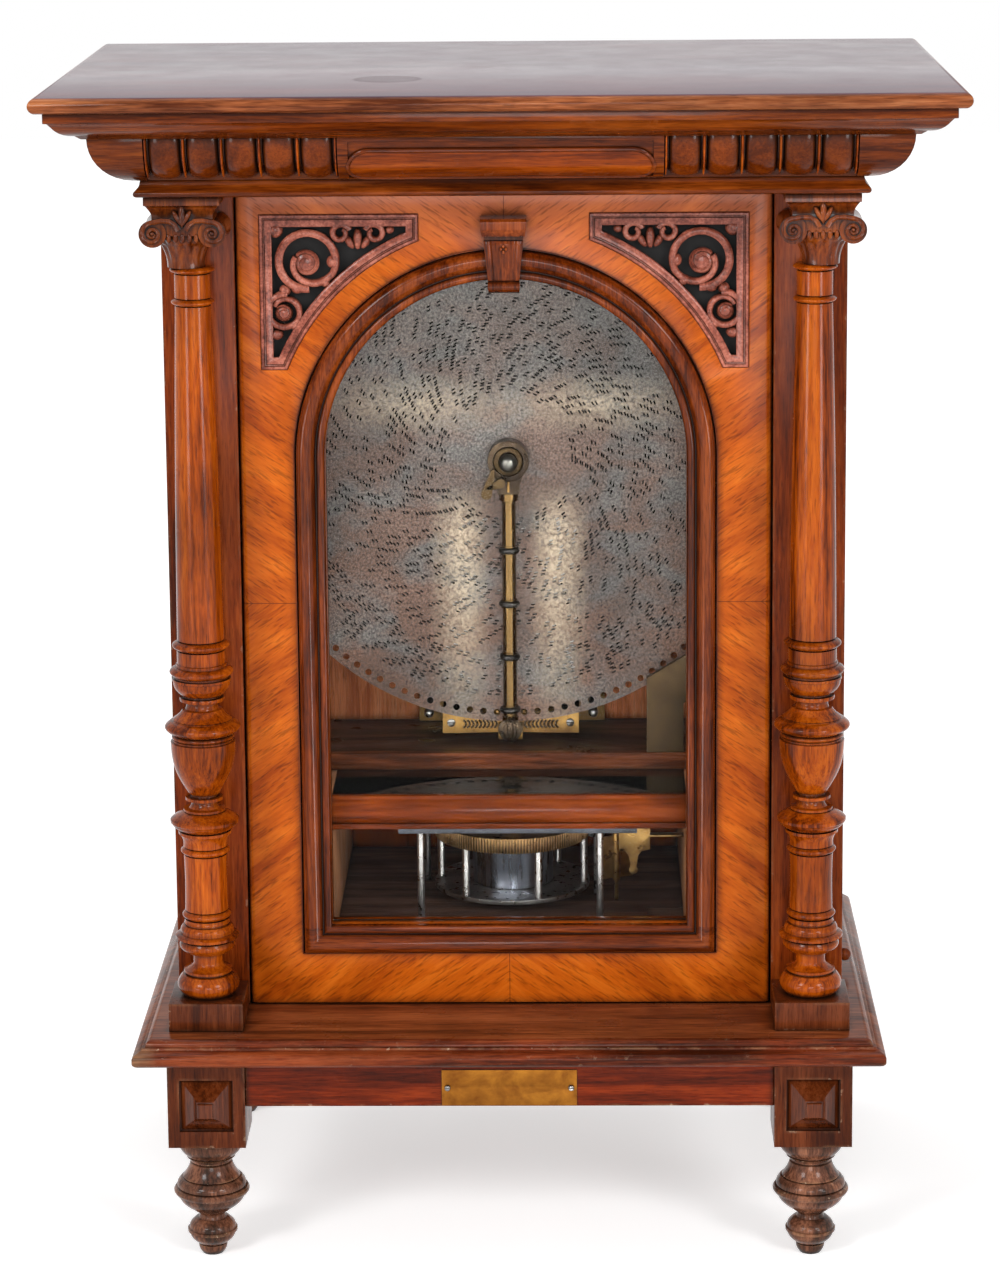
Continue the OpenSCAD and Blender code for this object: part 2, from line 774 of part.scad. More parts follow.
// Rail with a round front and a rebate behind for the cover glass
module front_rail() {
  r = rail_h / 2;
  back = inner_y + rail_d;
  color(orange_walnut) translate([-cheek_x, 0, z_cover - rail_h]) rotate([90, 0, 90])
    linear_extrude(2 * cheek_x) difference() {
      union() {
        translate([inner_y + 6, 0]) square([rail_d - 6, rail_h]);
        intersection() {
          translate([inner_y + r, r]) circle(r);
          translate([inner_y, 3]) square([r, rail_h - 5]);
        }
        translate([inner_y + 2, 0]) square([8, 5]);
      }
      translate([back - 8, rail_h - glass_t]) square([9, glass_t + 1]);
    }
}

module cover_glass() {
  color(pane) span([-cheek_x + air_gap, inner_y + rail_d - 8, z_cover - glass_t],
                   [cheek_x - air_gap, shelf_y + cover_lap, z_cover]);
}

winding_bearing_x = crown_r + 22;
click_x = 40;
click_y = drive_y - 12;
click_pin_r = 2;

module motor_floor() {
  color(black) difference() {
    union() {
      span([-inner_x, inner_y, z_floor - floor_t], [inner_x, back_y - back_t, z_floor]);
      span([winding_bearing_x, drive_y - 10, z_winding - 9],
           [winding_bearing_x + 10, drive_y + 10, z_floor - floor_t + eps]);
      translate([click_x, click_y, z_floor - eps]) cylinder(r = click_pin_r, h = 5.5);
    }
    translate([0, drive_y, z_floor - floor_t - 1]) cylinder(r = arbor_neck_r + run_gap, h = floor_t + 2);
    translate([0, drive_y, z_winding])
      rod_x(winding_bearing_x - 1, winding_bearing_x + 11, winding_r + run_gap);
    for (p = [[governor_x, governor_y], [fly_x, fly_y]])
      translate([p[0], p[1], z_floor - 6]) cylinder(r = spindle_pivot_r + run_gap, h = 7);
    span([chute_x0, chute_y - 15, z_floor - floor_t - 1], [chute_x1, chute_y + 15, z_floor + 1]);
  }
}

pillar_front_y = behind(75);
pillar_back_y = board_y - 9;
pillar_points = [[-motor_pillar_x, pillar_front_y], [motor_pillar_x, pillar_front_y],
                 [-motor_pillar_x, pillar_back_y], [motor_pillar_x, pillar_back_y]];
spindle_pivot_r = 2;
arbor_neck_r = 9;

module motor_top_plate() {
  color(steel) difference() {
    span([-motor_pillar_x - 20, pillar_front_y - 8, z_plate],
         [fly_x + 18, pillar_back_y + 6, z_plate + plate_top_t]);
    translate([0, drive_y, z_plate - 1]) cylinder(r = drive_r + run_gap, h = plate_top_t + 2);
    for (p = [[governor_x, governor_y], [fly_x, fly_y]])
      translate([p[0], p[1], z_plate - 1]) cylinder(r = spindle_pivot_r + run_gap, h = plate_top_t + 2);
  }
  color(steel) {
    span([lever_x0 - 6, chute_y - 4, lever_z - 4], [lever_x0 - 2, chute_y + 4, z_plate]);
    translate([0, chute_y, lever_z]) rod_x(lever_x0 - 6, cheek_x, lever_rod_r);
  }
}

module motor_pillars() {
  color(steel) for (p = pillar_points)
    translate([p[0], p[1], z_floor]) cylinder(r = motor_pillar_r, h = z_plate - z_floor);
}

// Movement bed

bed_x = 88;
bed_t = 8;
bed_z0 = z_shelf + 1;
bed_z1 = z_disc + 27;
star_r = 7.5;
star_n = 59;
star_shaft_r = 1.5;
star_y = disc_y + disc_t / 2 + 1 + star_r;
star_z0 = z_disc - 230;
star_z1 = z_disc - 60;
star_step = (star_z1 - star_z0) / (star_n - 1);
comb_tip_x = star_r + 1.2;
comb_root_x = 34;
comb_x1 = 62;
comb_t = 2.5;

module bedplate() {
  front = board_y - bed_t;
  color(gold) difference() {
    union() {
      span([-bed_x, front, bed_z0], [bed_x, board_y, bed_z1]);
      for (z = [star_z0 - 7, star_z1 + 4])
        span([-8, star_y - 5, z], [8, front + eps, z + 3.5]);
      mirrored() span([comb_root_x + 3, star_y + comb_t / 2, star_z0 - 2],
                      [comb_x1, front + eps, star_z1 + 2]);
      translate([0, 0, z_disc]) rod_y(disc_y + disc_t / 2 + air_gap + 4, front + eps, 14);
      mirrored() span([bracket_x - 16, bracket_y1, z_arm - 5], [bracket_x, front + eps, z_arm + 15]);
    }
    translate([0, star_y, star_z0 - 8]) cylinder(r = star_shaft_r + run_gap, h = star_z1 - star_z0 + 18);
  }
}

function comb_points() = concat(
  [[comb_x1, star_z0 - 2]],
  [for (i = [0:star_n - 1]) let (z = star_z0 + i * star_step, h = star_step * 0.36) each
    [[comb_root_x, z - h], [comb_tip_x, z - h * 0.7], [comb_tip_x, z + h * 0.7], [comb_root_x, z + h]]],
  [[comb_x1, star_z1 + 2]]);

module combs() {
  color(steel) mirrored()
    upright(star_y - comb_t / 2, star_y + comb_t / 2) polygon(comb_points());
}

module screw_y(y, r) {
  difference() {
    rod_y(y - 1.4, y, r);
    span([-r - 1, y - 2, -0.4], [r + 1, y - 0.8, 0.4]);
  }
}

module screws() {
  color(steel) {
    mirrored() translate([plate_screw_x, 0, plate_z0 + plate_h / 2]) screw_y(plate_y, 2.4);
    mirrored() translate([bracket_x - 8, 0, z_arm + 5]) screw_y(bracket_y0, 3.6);
    mirrored() for (z = [star_z0 + 12, (star_z0 + star_z1) / 2, star_z1 - 12])
      translate([comb_x1 - 12, 0, z]) screw_y(star_y - comb_t / 2, 3.6);
  }
}

post_x = bed_x - 11;
post_up = 22;
post_y0 = disc_y + 30;
post_head_t = 4;
post_r = 3.6;
post_head_r = 4.4;

module guide_posts() {
  color(black) mirrored() translate([post_x, 0, z_shelf + post_up]) {
    rod_y(post_y0 + post_head_t, board_y - bed_t, post_r);
    rod_y(post_y0, post_y0 + post_head_t + eps, post_head_r);
  }
}

bracket_x = 63.5;
bracket_y0 = disc_y + 10;
bracket_y1 = disc_y + 18;
ear_x0 = 7;
ear_x1 = 11;

// Ornamental bar behind the disc, with two ears below the rim that hold the arm's pivot pin
module arm_bracket() {
  color(gold) {
    upright(bracket_y0, bracket_y1) mirrored()
      polygon([[0, z_arm - 4], [bracket_x - 16, z_arm - 5], [bracket_x, z_arm - 5],
               [bracket_x, z_arm + 15], [bracket_x - 16, z_arm + 15], [0, z_arm + 8]]);
    mirrored() {
      span([ear_x0, arm_y, z_arm - 5.5], [ear_x1, bracket_y0 + eps, z_arm + 5.5]);
      translate([0, arm_y, z_arm]) rod_x(ear_x0, ear_x1, 5.5);
    }
    translate([0, arm_y, z_arm]) rod_x(-ear_x1, ear_x1, arm_pin_r);
  }
}

module centre_spindle() {
  back = disc_y + disc_t / 2 + air_gap + 4;
  color(steel) translate([0, 0, z_disc]) {
    rod_y(disc_y + disc_t / 2 + air_gap, back, 12);
    rod_y(disc_y - disc_t / 2 - 2, back, spindle_r);
  }
}

// Coin parts

chute_x0 = 126;
chute_x1 = chute_x0 + coin_w + 2 * chute_wall;
chute_half = coin_gap / 2 + chute_wall;
chute_y = shelf_y + 2 + chute_half;
z_slot = z_shelf + 160;
z_bend = z_shelf + 70;

// A flat tube that drops a coin from the slot in the right side to the shelf
module chute_path(grow) {
  polygon([[chute_x0 - grow, z_cover - grow], [chute_x1 + grow, z_cover - grow],
           [chute_x1 + grow, z_bend - 24], [case_x + 2, z_slot - coin_w / 2 - grow],
           [case_x + 2, z_slot + coin_w / 2 + grow], [chute_x0 - grow, z_bend]]);
}

module coin_chute() {
  color(brass) difference() {
    union() {
      intersection() {
        upright(chute_y - chute_half, chute_y + chute_half) chute_path(0);
        span([0, behind(0), z_cover], [case_x, back_y, z_top]);
      }
      span([case_x, chute_y - 16, z_slot - 32], [case_x + 1.5, chute_y + 16, z_slot + 32]);
    }
    upright(chute_y - coin_gap / 2, chute_y + coin_gap / 2) chute_path(-chute_wall);
    span([case_x - 2, chute_y - coin_gap / 2, z_slot - coin_w / 2],
         [case_x + 3, chute_y + coin_gap / 2, z_slot + coin_w / 2]);
  }
}

lever_z = z_plate - 7;
lever_x0 = 100;
lever_x1 = chute_x0 + 3;
lever_rod_r = 1.5;
lever_hub_r = 3.2;
lever_y0 = chute_y - 4;
lever_t = 1.5;
lever_drop = 26;
tongue_x = (lever_x0 + lever_x1) / 2 - 1;
tongue_w = 5;
tongue_drop = 42;
tongue_tip_r = 4;
pan_drop = 12;

// Balance plate with a tongue and a coin pan, hung on a rod across the motor compartment
module coin_lever() {
  plate_top = lever_z + 6;
  root = lever_z - lever_drop - 4;
  color(brass) difference() {
    union() {
      upright(lever_y0, lever_y0 + lever_t) {
        polygon([[lever_x0, lever_z - lever_drop], [lever_x0, plate_top], [lever_x1, plate_top],
                 [lever_x1, lever_z - lever_drop + 2], [tongue_x + 7.5, lever_z - lever_drop],
                 [tongue_x + 4.5, root], [tongue_x + tongue_w / 2, lever_z - tongue_drop],
                 [tongue_x - tongue_w / 2, lever_z - tongue_drop], [tongue_x - 4.5, root],
                 [tongue_x - 7.5, lever_z - lever_drop]]);
        translate([tongue_x, lever_z - tongue_drop - 2]) circle(tongue_tip_r);
      }
      translate([0, chute_y, lever_z]) rod_x(lever_x0, lever_x1, lever_hub_r);
      span([lever_x1 - 1, chute_y - 5, lever_z - pan_drop], [chute_x1, chute_y + 5, lever_z - pan_drop + lever_t]);
      span([lever_x1 - 2, lever_y0, lever_z - pan_drop], [lever_x1, chute_y + 5, lever_z - 2]);
    }
    translate([0, chute_y, lever_z]) rod_x(lever_x0 - 1, chute_x1 + 1, lever_rod_r + run_gap);
  }
}

drawer_y0 = behind(drawer_back);
z_drawer = z_case + air_gap;
drawer_h = floor_up - floor_t - 4;
knob_out = 9;
knob_r = 6;

module cash_drawer() {
  x1 = case_x;
  x0 = x1 - drawer_d;
  color(walnut) {
    difference() {
      span([x0, drawer_y0, z_drawer], [x1, drawer_y0 + drawer_w, z_drawer + drawer_h]);
      span([x0 + drawer_wall, drawer_y0 + drawer_wall, z_drawer + drawer_wall],
           [x1 - side_t, drawer_y0 + drawer_w - drawer_wall, z_drawer + drawer_h + 1]);
    }
    translate([x1, drawer_y0 + drawer_w / 2, z_drawer + drawer_h / 2]) {
      rod_x(-6 - eps, knob_out, 3);
      translate([knob_out, 0, 0]) sphere(knob_r);
    }
  }
}

// Door

door_z0 = z_case + 1;
door_z1 = z_soffit - 1;
pivot_x = -door_x + door_edge_r;
pivot_y = behind(door_edge_r);

// Round-headed window outline
module arch_shape(half_w, sill) {
  translate([0, z_arch]) circle(half_w, $fn = 96);
  translate([-half_w, sill]) square([2 * half_w, z_arch - sill]);
}

spandrel_x1 = door_x - spandrel_in;
spandrel_z1 = door_z1 - spandrel_down;

// Right-hand spandrel outline, drawn in by some margin
module spandrel_shape(inset) {
  difference() {
    translate([spandrel_x1 - spandrel_w + inset, spandrel_z1 - spandrel_h + inset])
      square([spandrel_w - 2 * inset, spandrel_h - 2 * inset]);
    translate([0, z_arch]) circle(window_x + frame_w + spandrel_gap + inset, $fn = 96);
  }
}

module door_panel() {
  e = door_edge_r;
  color(orange_walnut) difference() {
    union() {
      span([-door_x + e, face_y, door_z0], [door_x - e, behind(door_t), door_z1]);
      mirrored() {
        span([door_x - e - eps, behind(e), door_z0], [door_x, behind(door_t), door_z1]);
        translate([door_x - e, behind(e), door_z0]) cylinder(r = e, h = door_z1 - door_z0);
      }
    }
    upright(behind(-1), behind(door_t + 1)) arch_shape(window_x, z_sill);
    upright(behind(glass_in), behind(door_t + 1)) arch_shape(window_x + rebate_w, z_sill - rebate_w);
    mirrored() {
      upright(behind(-1), behind(spandrel_t - spandrel_out + cloth_t)) spandrel_shape(0);
      upright(behind(-1), behind(door_t + 1)) spandrel_shape(spandrel_rim / 2);
    }
    translate([pivot_x, pivot_y, door_z0 - 1]) cylinder(r = pivot_r + run_gap, h = pivot_in + 1);
    translate([pivot_x, pivot_y, door_z1 - pivot_in]) cylinder(r = pivot_r + run_gap, h = pivot_in + 1);
  }
}

module door_pivots() {
  color(brass) translate([pivot_x, pivot_y, 0]) {
    translate([0, 0, z_case]) cylinder(r = pivot_r, h = pivot_in - 1);
    translate([0, 0, z_soffit - pivot_in + 1]) cylinder(r = pivot_r, h = pivot_in - 1);
  }
}

// Section of the window moulding, from the glass edge outwards and off the door
module frame_section() {
  f = frame_out;
  w = frame_w;
  polygon(concat(
    [[0, 0], [0, f * 0.3]],
    arc(4, f * 0.3, 4, 180, 70, 5),
    [[7, f * 0.42], [8.5, f * 0.42], [9.5, f * 0.66]],
    arc(w - 9.5, f - 7, 7, 115, 20, 7),
    [[w - 2.4, f * 0.3], [w, f * 0.25], [w, 0]]));
}

module keystone_side() {
  h = keystone_h;
  o = keystone_out;
  polygon(concat(
    [[0, 0], [-o * 0.52, 0]],
    arc(-o * 0.6, 5, 4.5, -70, -180, 5),
    [[-o * 0.82, h * 0.45], [-o * 0.84, h * 0.7], [-o * 0.72, h * 0.72], [-o * 0.72, h * 0.76],
     [-o * 0.9, h * 0.78], [-o, h * 0.84], [-o, h - 2], [-o + 2, h], [0, h]]));
}

module keystone_front() {
  h = keystone_h;
  a = keystone_w / 2;
  b = keystone_foot_w / 2;
  c = b + (a - b) * 0.6;
  polygon([[-b, 0], [b, 0], [c, h * 0.72], [a, h * 0.76], [a, h], [-a, h], [-a, h * 0.76],
           [-c, h * 0.72]]);
}

keystone_z = spandrel_z1 - 2 - keystone_h;

module keystone() {
  color(dark_walnut) translate([0, face_y, keystone_z]) intersection() {
    upright(-keystone_out - 1, 0) keystone_front();
    translate([-keystone_w, 0, 0]) rotate([90, 0, 90]) linear_extrude(2 * keystone_w) keystone_side();
  }
}

module arch_moulding() {
  outer = window_x + frame_w;
  low = z_sill - frame_w;
  color(dark_walnut) difference() {
    union() {
      translate([0, face_y, z_arch]) rotate([90, 0, 0]) rotate_extrude(angle = 180, $fn = 96)
        translate([window_x, 0]) frame_section();
      mirrored() intersection() {
        translate([window_x, face_y, low]) linear_extrude(z_arch - low) mirror([0, 1]) frame_section();
        upright(behind(-frame_out - 1), face_y)
          polygon([[window_x, z_sill], [outer, low], [outer, z_arch], [window_x, z_arch]]);
      }
      intersection() {
        translate([-outer, face_y, z_sill]) rotate([90, 0, 90]) linear_extrude(2 * outer)
          rotate(180) mirror([1, 0]) rotate(90) frame_section();
        upright(behind(-frame_out - 1), face_y)
          polygon([[-window_x, z_sill], [-outer, low], [outer, low], [window_x, z_sill]]);
      }
    }
    translate([0, face_y, keystone_z]) upright(-frame_out - 2, 1) keystone_front();
  }
}

module door_glass() {
  m = rebate_w - air_gap;
  color(pane) upright(behind(glass_in), behind(glass_in + glass_t))
    arch_shape(window_x + m, z_sill - m);
}

module glass_bead() {
  m = rebate_w - air_gap;
  color(dark_walnut) upright(behind(glass_in + glass_t), behind(door_t - 1)) difference() {
    arch_shape(window_x + m, z_sill - m);
    arch_shape(window_x, z_sill);
  }
}

module ring(r, w) {
  difference() {
    circle(r);
    circle(r - w);
  }
}

// Scrolls of the right-hand spandrel, placed from its outer top corner
module spandrel_scrolls() {
  translate([spandrel_x1, spandrel_z1]) {
    translate([-39, -41]) ring(25, 5.5);
    translate([-46, -41]) circle(9.5);
    translate([-55, -46]) circle(6);
    translate([-60, -41]) circle(5);
    translate([-21.5, -85]) ring(14, 4.5);
    translate([-24, -85]) circle(5.5);
    translate([-31, -85]) circle(4);
    translate([-84, -20]) ring(12, 4);
    translate([-70, -22]) circle(6);
    translate([-84, -10]) circle(4);
    translate([-25, -66]) circle(6.5);
    translate([-14, -103]) circle(6);
  }
}

module spandrels() {
  color(dark_walnut) mirrored()
    upright(behind(-spandrel_out), behind(spandrel_t - spandrel_out)) {
      difference() {
        spandrel_shape(0);
        spandrel_shape(spandrel_rim);
      }
      intersection() {
        spandrel_scrolls();
        spandrel_shape(spandrel_rim - 1);
      }
    }
}

module sound_cloth() {
  y = behind(spandrel_t - spandrel_out);
  color(cloth) mirrored() upright(y, y + cloth_t) spandrel_shape(air_gap);
}

// Disc and arm

module tune_disc() {
  color(steel) translate([0, disc_y, z_disc]) rotate([90, 0, 0]) translate([0, 0, -disc_t / 2])
    linear_extrude(disc_t) difference() {
      circle(disc_d / 2, $fn = 180);
      circle(spindle_r + run_gap);
      for (i = [0:disc_holes - 1])
        rotate(-90 + i * 360 / disc_holes) translate([hole_circle_r, 0]) circle(hole_r, $fn = 24);
    }
}

module roller(i) {
  color(brass) translate([0, arm_y, roller_z[i]]) difference() {
    rotate_extrude() polygon(concat(
      [[0, -roller_t / 2]],
      bulge(roller_r - 1.2, -roller_t / 2, roller_r - 1.2, roller_t / 2, 1.2, 6),
      [[roller_r - 1.2, roller_t / 2], [0, roller_t / 2]]));
    translate([0, 0, -roller_t]) cylinder(r = roller_axle_r + run_gap, h = 2 * roller_t);
  }
}

roller_axle_r = 3;
hub_y0 = disc_y - disc_t / 2 - 22;
hub_y1 = disc_y - disc_t / 2 - 3;
neck_z = z_disc - 36;
latch_x = -7;
latch_z = neck_z + 10;

// Upright tube with waists for the rollers, a ring with a ball at the top and a round foot
module pressure_arm() {
  half = roller_t / 2 + air_gap;
  foot_z = z_arm - 5.5;
  color(brass) difference() {
    union() {
      translate([0, arm_y, 0]) turned(concat(
        [[4, foot_z]],
        bulge(6, foot_z + 1, 5.6, z_arm + 12, 0.6, 6),
        [[arm_r + 2, z_arm + 13], [arm_r + 2, z_arm + 16]],
        [for (i = [3:-1:0]) each [[arm_r, roller_z[i] - half - 1], [arm_r, roller_z[i] - half],
          [roller_axle_r, roller_z[i] - half], [roller_axle_r, roller_z[i] + half],
          [arm_r, roller_z[i] + half]]],
        [[arm_r, neck_z - 6], [arm_r + 2.5, neck_z - 5], [arm_r + 2.5, neck_z]]));
      span([-7.5, hub_y0 + 3, neck_z - eps], [7.5, hub_y1, z_disc - hub_r + 3]);
      translate([0, 0, z_disc]) {
        rod_y(hub_y0, hub_y1, hub_r);
        rod_y(hub_y0 - 3, hub_y0 + eps, hub_r - 6);
        translate([0, hub_y0 - 6, 0]) sphere(ball_r);
      }
      translate([latch_x, 0, latch_z]) rod_y(hub_y0 - 2, hub_y0 + 4, 2);
    }
    translate([0, arm_y, z_arm]) rod_x(-20, 20, arm_pin_r + run_gap);
    translate([0, 0, z_disc]) rod_y(hub_y1 - 4, hub_y1 + 1, spindle_r + 2);
  }
}

// Curved finger lever that turns on a stud on the arm's neck
module arm_latch() {
  color(brass) upright(hub_y0 - 2, hub_y0 - 0.3) difference() {
    union() {
      translate([latch_x, latch_z]) circle(4.5);
      polygon(concat(
        [[latch_x + 1, latch_z + 4.2]],
        arc(0, z_disc, hub_r + 1, 228, 195, 5),
        arc(0, z_disc, hub_r + 5.5, 195, 236, 6),
        [[latch_x - 2, latch_z - 4]]));
      translate([-hub_r - 2.2, z_disc - 8]) circle(3.6);
    }
    translate([latch_x, latch_z]) circle(2 + run_gap);
  }
}

// Motor

module great_wheel() {
  rim = great_r - 10;
  color(brass) translate([0, drive_y, z_great]) {
    linear_extrude(great_t) difference() {
      polygon(gear_points(great_teeth, great_module, governor_angle));
      circle(rim);
    }
    translate([0, 0, 4]) difference() {
      cylinder(r = rim + eps, h = 5);
      translate([0, 0, -1]) cylinder(r = drive_r, h = 7);
    }
  }
}

flange_t = 4;
flange_up = 10;
cage_r = great_r - 3.5;
cage_phase = -68.5;

module spring_cage() {
  color(steel) translate([0, drive_y, z_floor + flange_up]) {
    difference() {
      cylinder(r = flange_r, h = flange_t);
      translate([0, 0, -1]) cylinder(r = arbor_neck_r + run_gap, h = flange_t + 2);
    }
    for (i = [0:cage_pillars - 1]) rotate(cage_phase + i * 360 / cage_pillars)
      translate([cage_r, 0, flange_t - eps]) cylinder(r = pillar_r, h = great_up - flange_up - flange_t + eps);
  }
}

// Centre line of the mainspring: an even spiral, then a tail that runs out to a rear cage pillar
spring_r0 = arbor_r + air_gap + spring_t / 2;
spring_r1 = spring_r0 + spring_pitch * spring_turns;
spring_steps = 24;
tail_turns = 0.45;
tail_end_a = cage_phase + 2 * 360 / cage_pillars - 8;
tail_r = cage_r - pillar_r - air_gap - spring_t;
spring_a0 = tail_end_a - 360 * (spring_turns + tail_turns);
function spring_radius(t) = t <= spring_turns ? spring_r0 + spring_pitch * t
  : spring_r1 + (tail_r - spring_r1) * pow((t - spring_turns) / tail_turns, 1.4);
spring_last = round((spring_turns + tail_turns) * spring_steps);
function spring_line(offset) = [for (i = [0:spring_last])
  let (t = i * (spring_turns + tail_turns) / spring_last)
  polar(spring_radius(t) + offset, spring_a0 + 360 * t)];
spring_least = min([for (i = [0:spring_last - spring_steps])
  norm(spring_line(0)[i + spring_steps] - spring_line(0)[i])]) - spring_t;
echo(mainspring_least_gap = spring_least);

module mainspring() {
  inner = spring_line(-spring_t / 2);
  outer = spring_line(spring_t / 2);
  color(steel) translate([0, drive_y, z_floor + flange_up + flange_t + air_gap])
    linear_extrude(spring_h)
      polygon(concat(inner, [for (i = [spring_last:-1:0]) outer[i]]));
}

sprocket_t = 7;
sprocket_r = 34;

module drive_sprocket() {
  color(brass) translate([0, drive_y, 0]) {
    translate([0, 0, z_great + 1]) cylinder(r = drive_r, h = z_sprocket + 4 - z_great - 1);
    difference() {
      translate([0, 0, z_great + 9 + eps]) cylinder(r = drive_r + 6, h = 8);
      translate([0, 0, z_great + 8]) cylinder(r = drive_r - eps, h = 12);
    }
    translate([0, 0, z_sprocket - sprocket_t / 2]) cylinder(r = sprocket_r, h = sprocket_t);
    for (i = [0:sprocket_pins - 1]) translate([0, 0, z_sprocket])
      rotate([0, 90, -90 + i * 360 / sprocket_pins]) {
        translate([0, 0, sprocket_r - 1]) cylinder(r1 = 2.2, r2 = 1.5, h = pin_circle_r + 2 - sprocket_r);
      }
  }
}

ratchet_teeth = 20;

// Saw teeth that let the arbor wind one way
function ratchet_points() = [for (i = [0:ratchet_teeth - 1]) let (a = i * 360 / ratchet_teeth) each
  [polar(ratchet_r, a), polar(ratchet_r - 3, a + 1.5)]];

module spring_arbor() {
  z1 = z_floor + flange_up;
  color(steel) translate([0, drive_y, 0]) {
    translate([0, 0, z_crown]) cylinder(r = crown_r + 4, h = 4);
    for (i = [0:crown_teeth - 1]) rotate(i * 360 / crown_teeth)
      span([crown_r - 2, -0.65, z_crown - 3], [crown_r + 4, 0.65, z_crown + eps]);
    translate([0, 0, z_crown + 4 - eps]) cylinder(r = arbor_neck_r, h = z1 + flange_t + air_gap - z_crown - 4);
    translate([0, 0, z_floor + 1]) linear_extrude(3.5) polygon(ratchet_points());
    translate([0, 0, z_floor + 4.5 - eps]) cylinder(r = 13, h = flange_up - 4.5 - air_gap);
    translate([0, 0, z1 + flange_t + air_gap - eps]) cylinder(r = arbor_r, h = spring_h + 1);
  }
}

module winding_shaft() {
  x0 = crown_r - 2;
  color(steel) translate([0, drive_y, z_winding]) {
    translate([x0, 0, 0]) rotate([90, 0, 90]) linear_extrude(6)
      polygon(gear_points(winding_teeth, winding_module, 90 + 180 / winding_teeth));
    rod_x(x0 + 6 - eps, case_x, winding_r);
    rod_x(case_x - eps, case_x + winding_out, winding_end_r);
  }
}

// Pawl whose flat end stands just off the ratchet's tips
module click() {
  near = ratchet_r + 2 * air_gap;
  heel = polar(near, -7.4);
  toe = polar(near, -17);
  color(steel) translate([0, 0, z_floor + air_gap]) linear_extrude(4) difference() {
    union() {
      translate([click_x, click_y]) circle(4.5);
      polygon([[click_x - 3, click_y + 3.4], [heel[0], drive_y + heel[1]], [toe[0], drive_y + toe[1]],
               [click_x - 2, click_y - 4]]);
    }
    translate([click_x, click_y]) circle(click_pin_r + run_gap);
  }
}

governor_z = z_great + great_t + 4;

module governor_arbor() {
  color(steel) translate([governor_x, governor_y, 0]) {
    translate([0, 0, z_floor - 5]) cylinder(r = spindle_pivot_r, h = z_plate + plate_top_t - 1 - z_floor + 5);
    translate([0, 0, z_great - 1]) linear_extrude(great_t + 2)
      polygon(gear_points(pinion_teeth, great_module, governor_angle + 180 + 180 / pinion_teeth));
    translate([0, 0, governor_z]) linear_extrude(4)
      polygon(gear_points(governor_teeth, governor_module, fly_angle));
  }
}

module governor_fly() {
  blade_z0 = z_floor + 22;
  blade_z1 = z_great + 4;
  blade_t = 1;
  hub_r = 3.5;
  hub_over = 2;
  color(brass) translate([fly_x, fly_y, 0]) {
    translate([0, 0, z_floor - 5]) cylinder(r = spindle_pivot_r, h = z_plate + plate_top_t - 1 - z_floor + 5);
    translate([0, 0, governor_z - 1.5]) linear_extrude(7)
      polygon(gear_points(fly_teeth, governor_module, fly_angle + 180 + 180 / fly_teeth));
    rotate(115) span([-blade_t / 2, -fly_r, blade_z0], [blade_t / 2, fly_r, blade_z1]);
    translate([0, 0, blade_z0 - hub_over]) cylinder(r = hub_r, h = blade_z1 - blade_z0 + 2 * hub_over);
  }
}

// Ten-pointed wheels between the disc and the combs
function star_points() = [for (i = [0:19]) polar(i % 2 == 0 ? star_r : star_r - 3, i * 18 + 9)];

module star_wheels() {
  color(steel) translate([0, star_y, 0]) {
    for (i = [0:star_n - 1]) translate([0, 0, star_z0 + i * star_step - 0.5])
      linear_extrude(1) polygon(star_points());
    translate([0, 0, star_z0 - 6]) cylinder(r = star_shaft_r, h = star_z1 - star_z0 + 13, $fn = 24);
  }
}

left_side_panel();
right_side_panel();
back_panel();
front_stiles();
base_board();
aprons();
foot_blocks();
turned_feet();
apron_plate();
head_frame();
bed_moulding();
frieze();
gadroons();
cornice_moulding();
top_board();
columns();
capitals();
column_blocks();
movement_board();
shelf();
inner_cheeks();
front_rail();
cover_glass();
motor_floor();
motor_top_plate();
motor_pillars();
bedplate();
combs();
screws();
guide_posts();
arm_bracket();
centre_spindle();
coin_chute();
door_pivots();
door_panel();
arch_moulding();
door_glass();
glass_bead();
keystone();
spandrels();
sound_cloth();
great_wheel();
spring_cage();
mainspring();
drive_sprocket();
tune_disc();
pressure_arm();
roller(0);  // roller_1
roller(1);  // roller_2
roller(2);  // roller_3
roller(3);  // roller_4
arm_latch();
spring_arbor();
winding_shaft();
click();
governor_arbor();
governor_fly();
star_wheels();
coin_lever();
cash_drawer();
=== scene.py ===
import json
import math

import bmesh
import bpy
from mathutils import Matrix, Vector

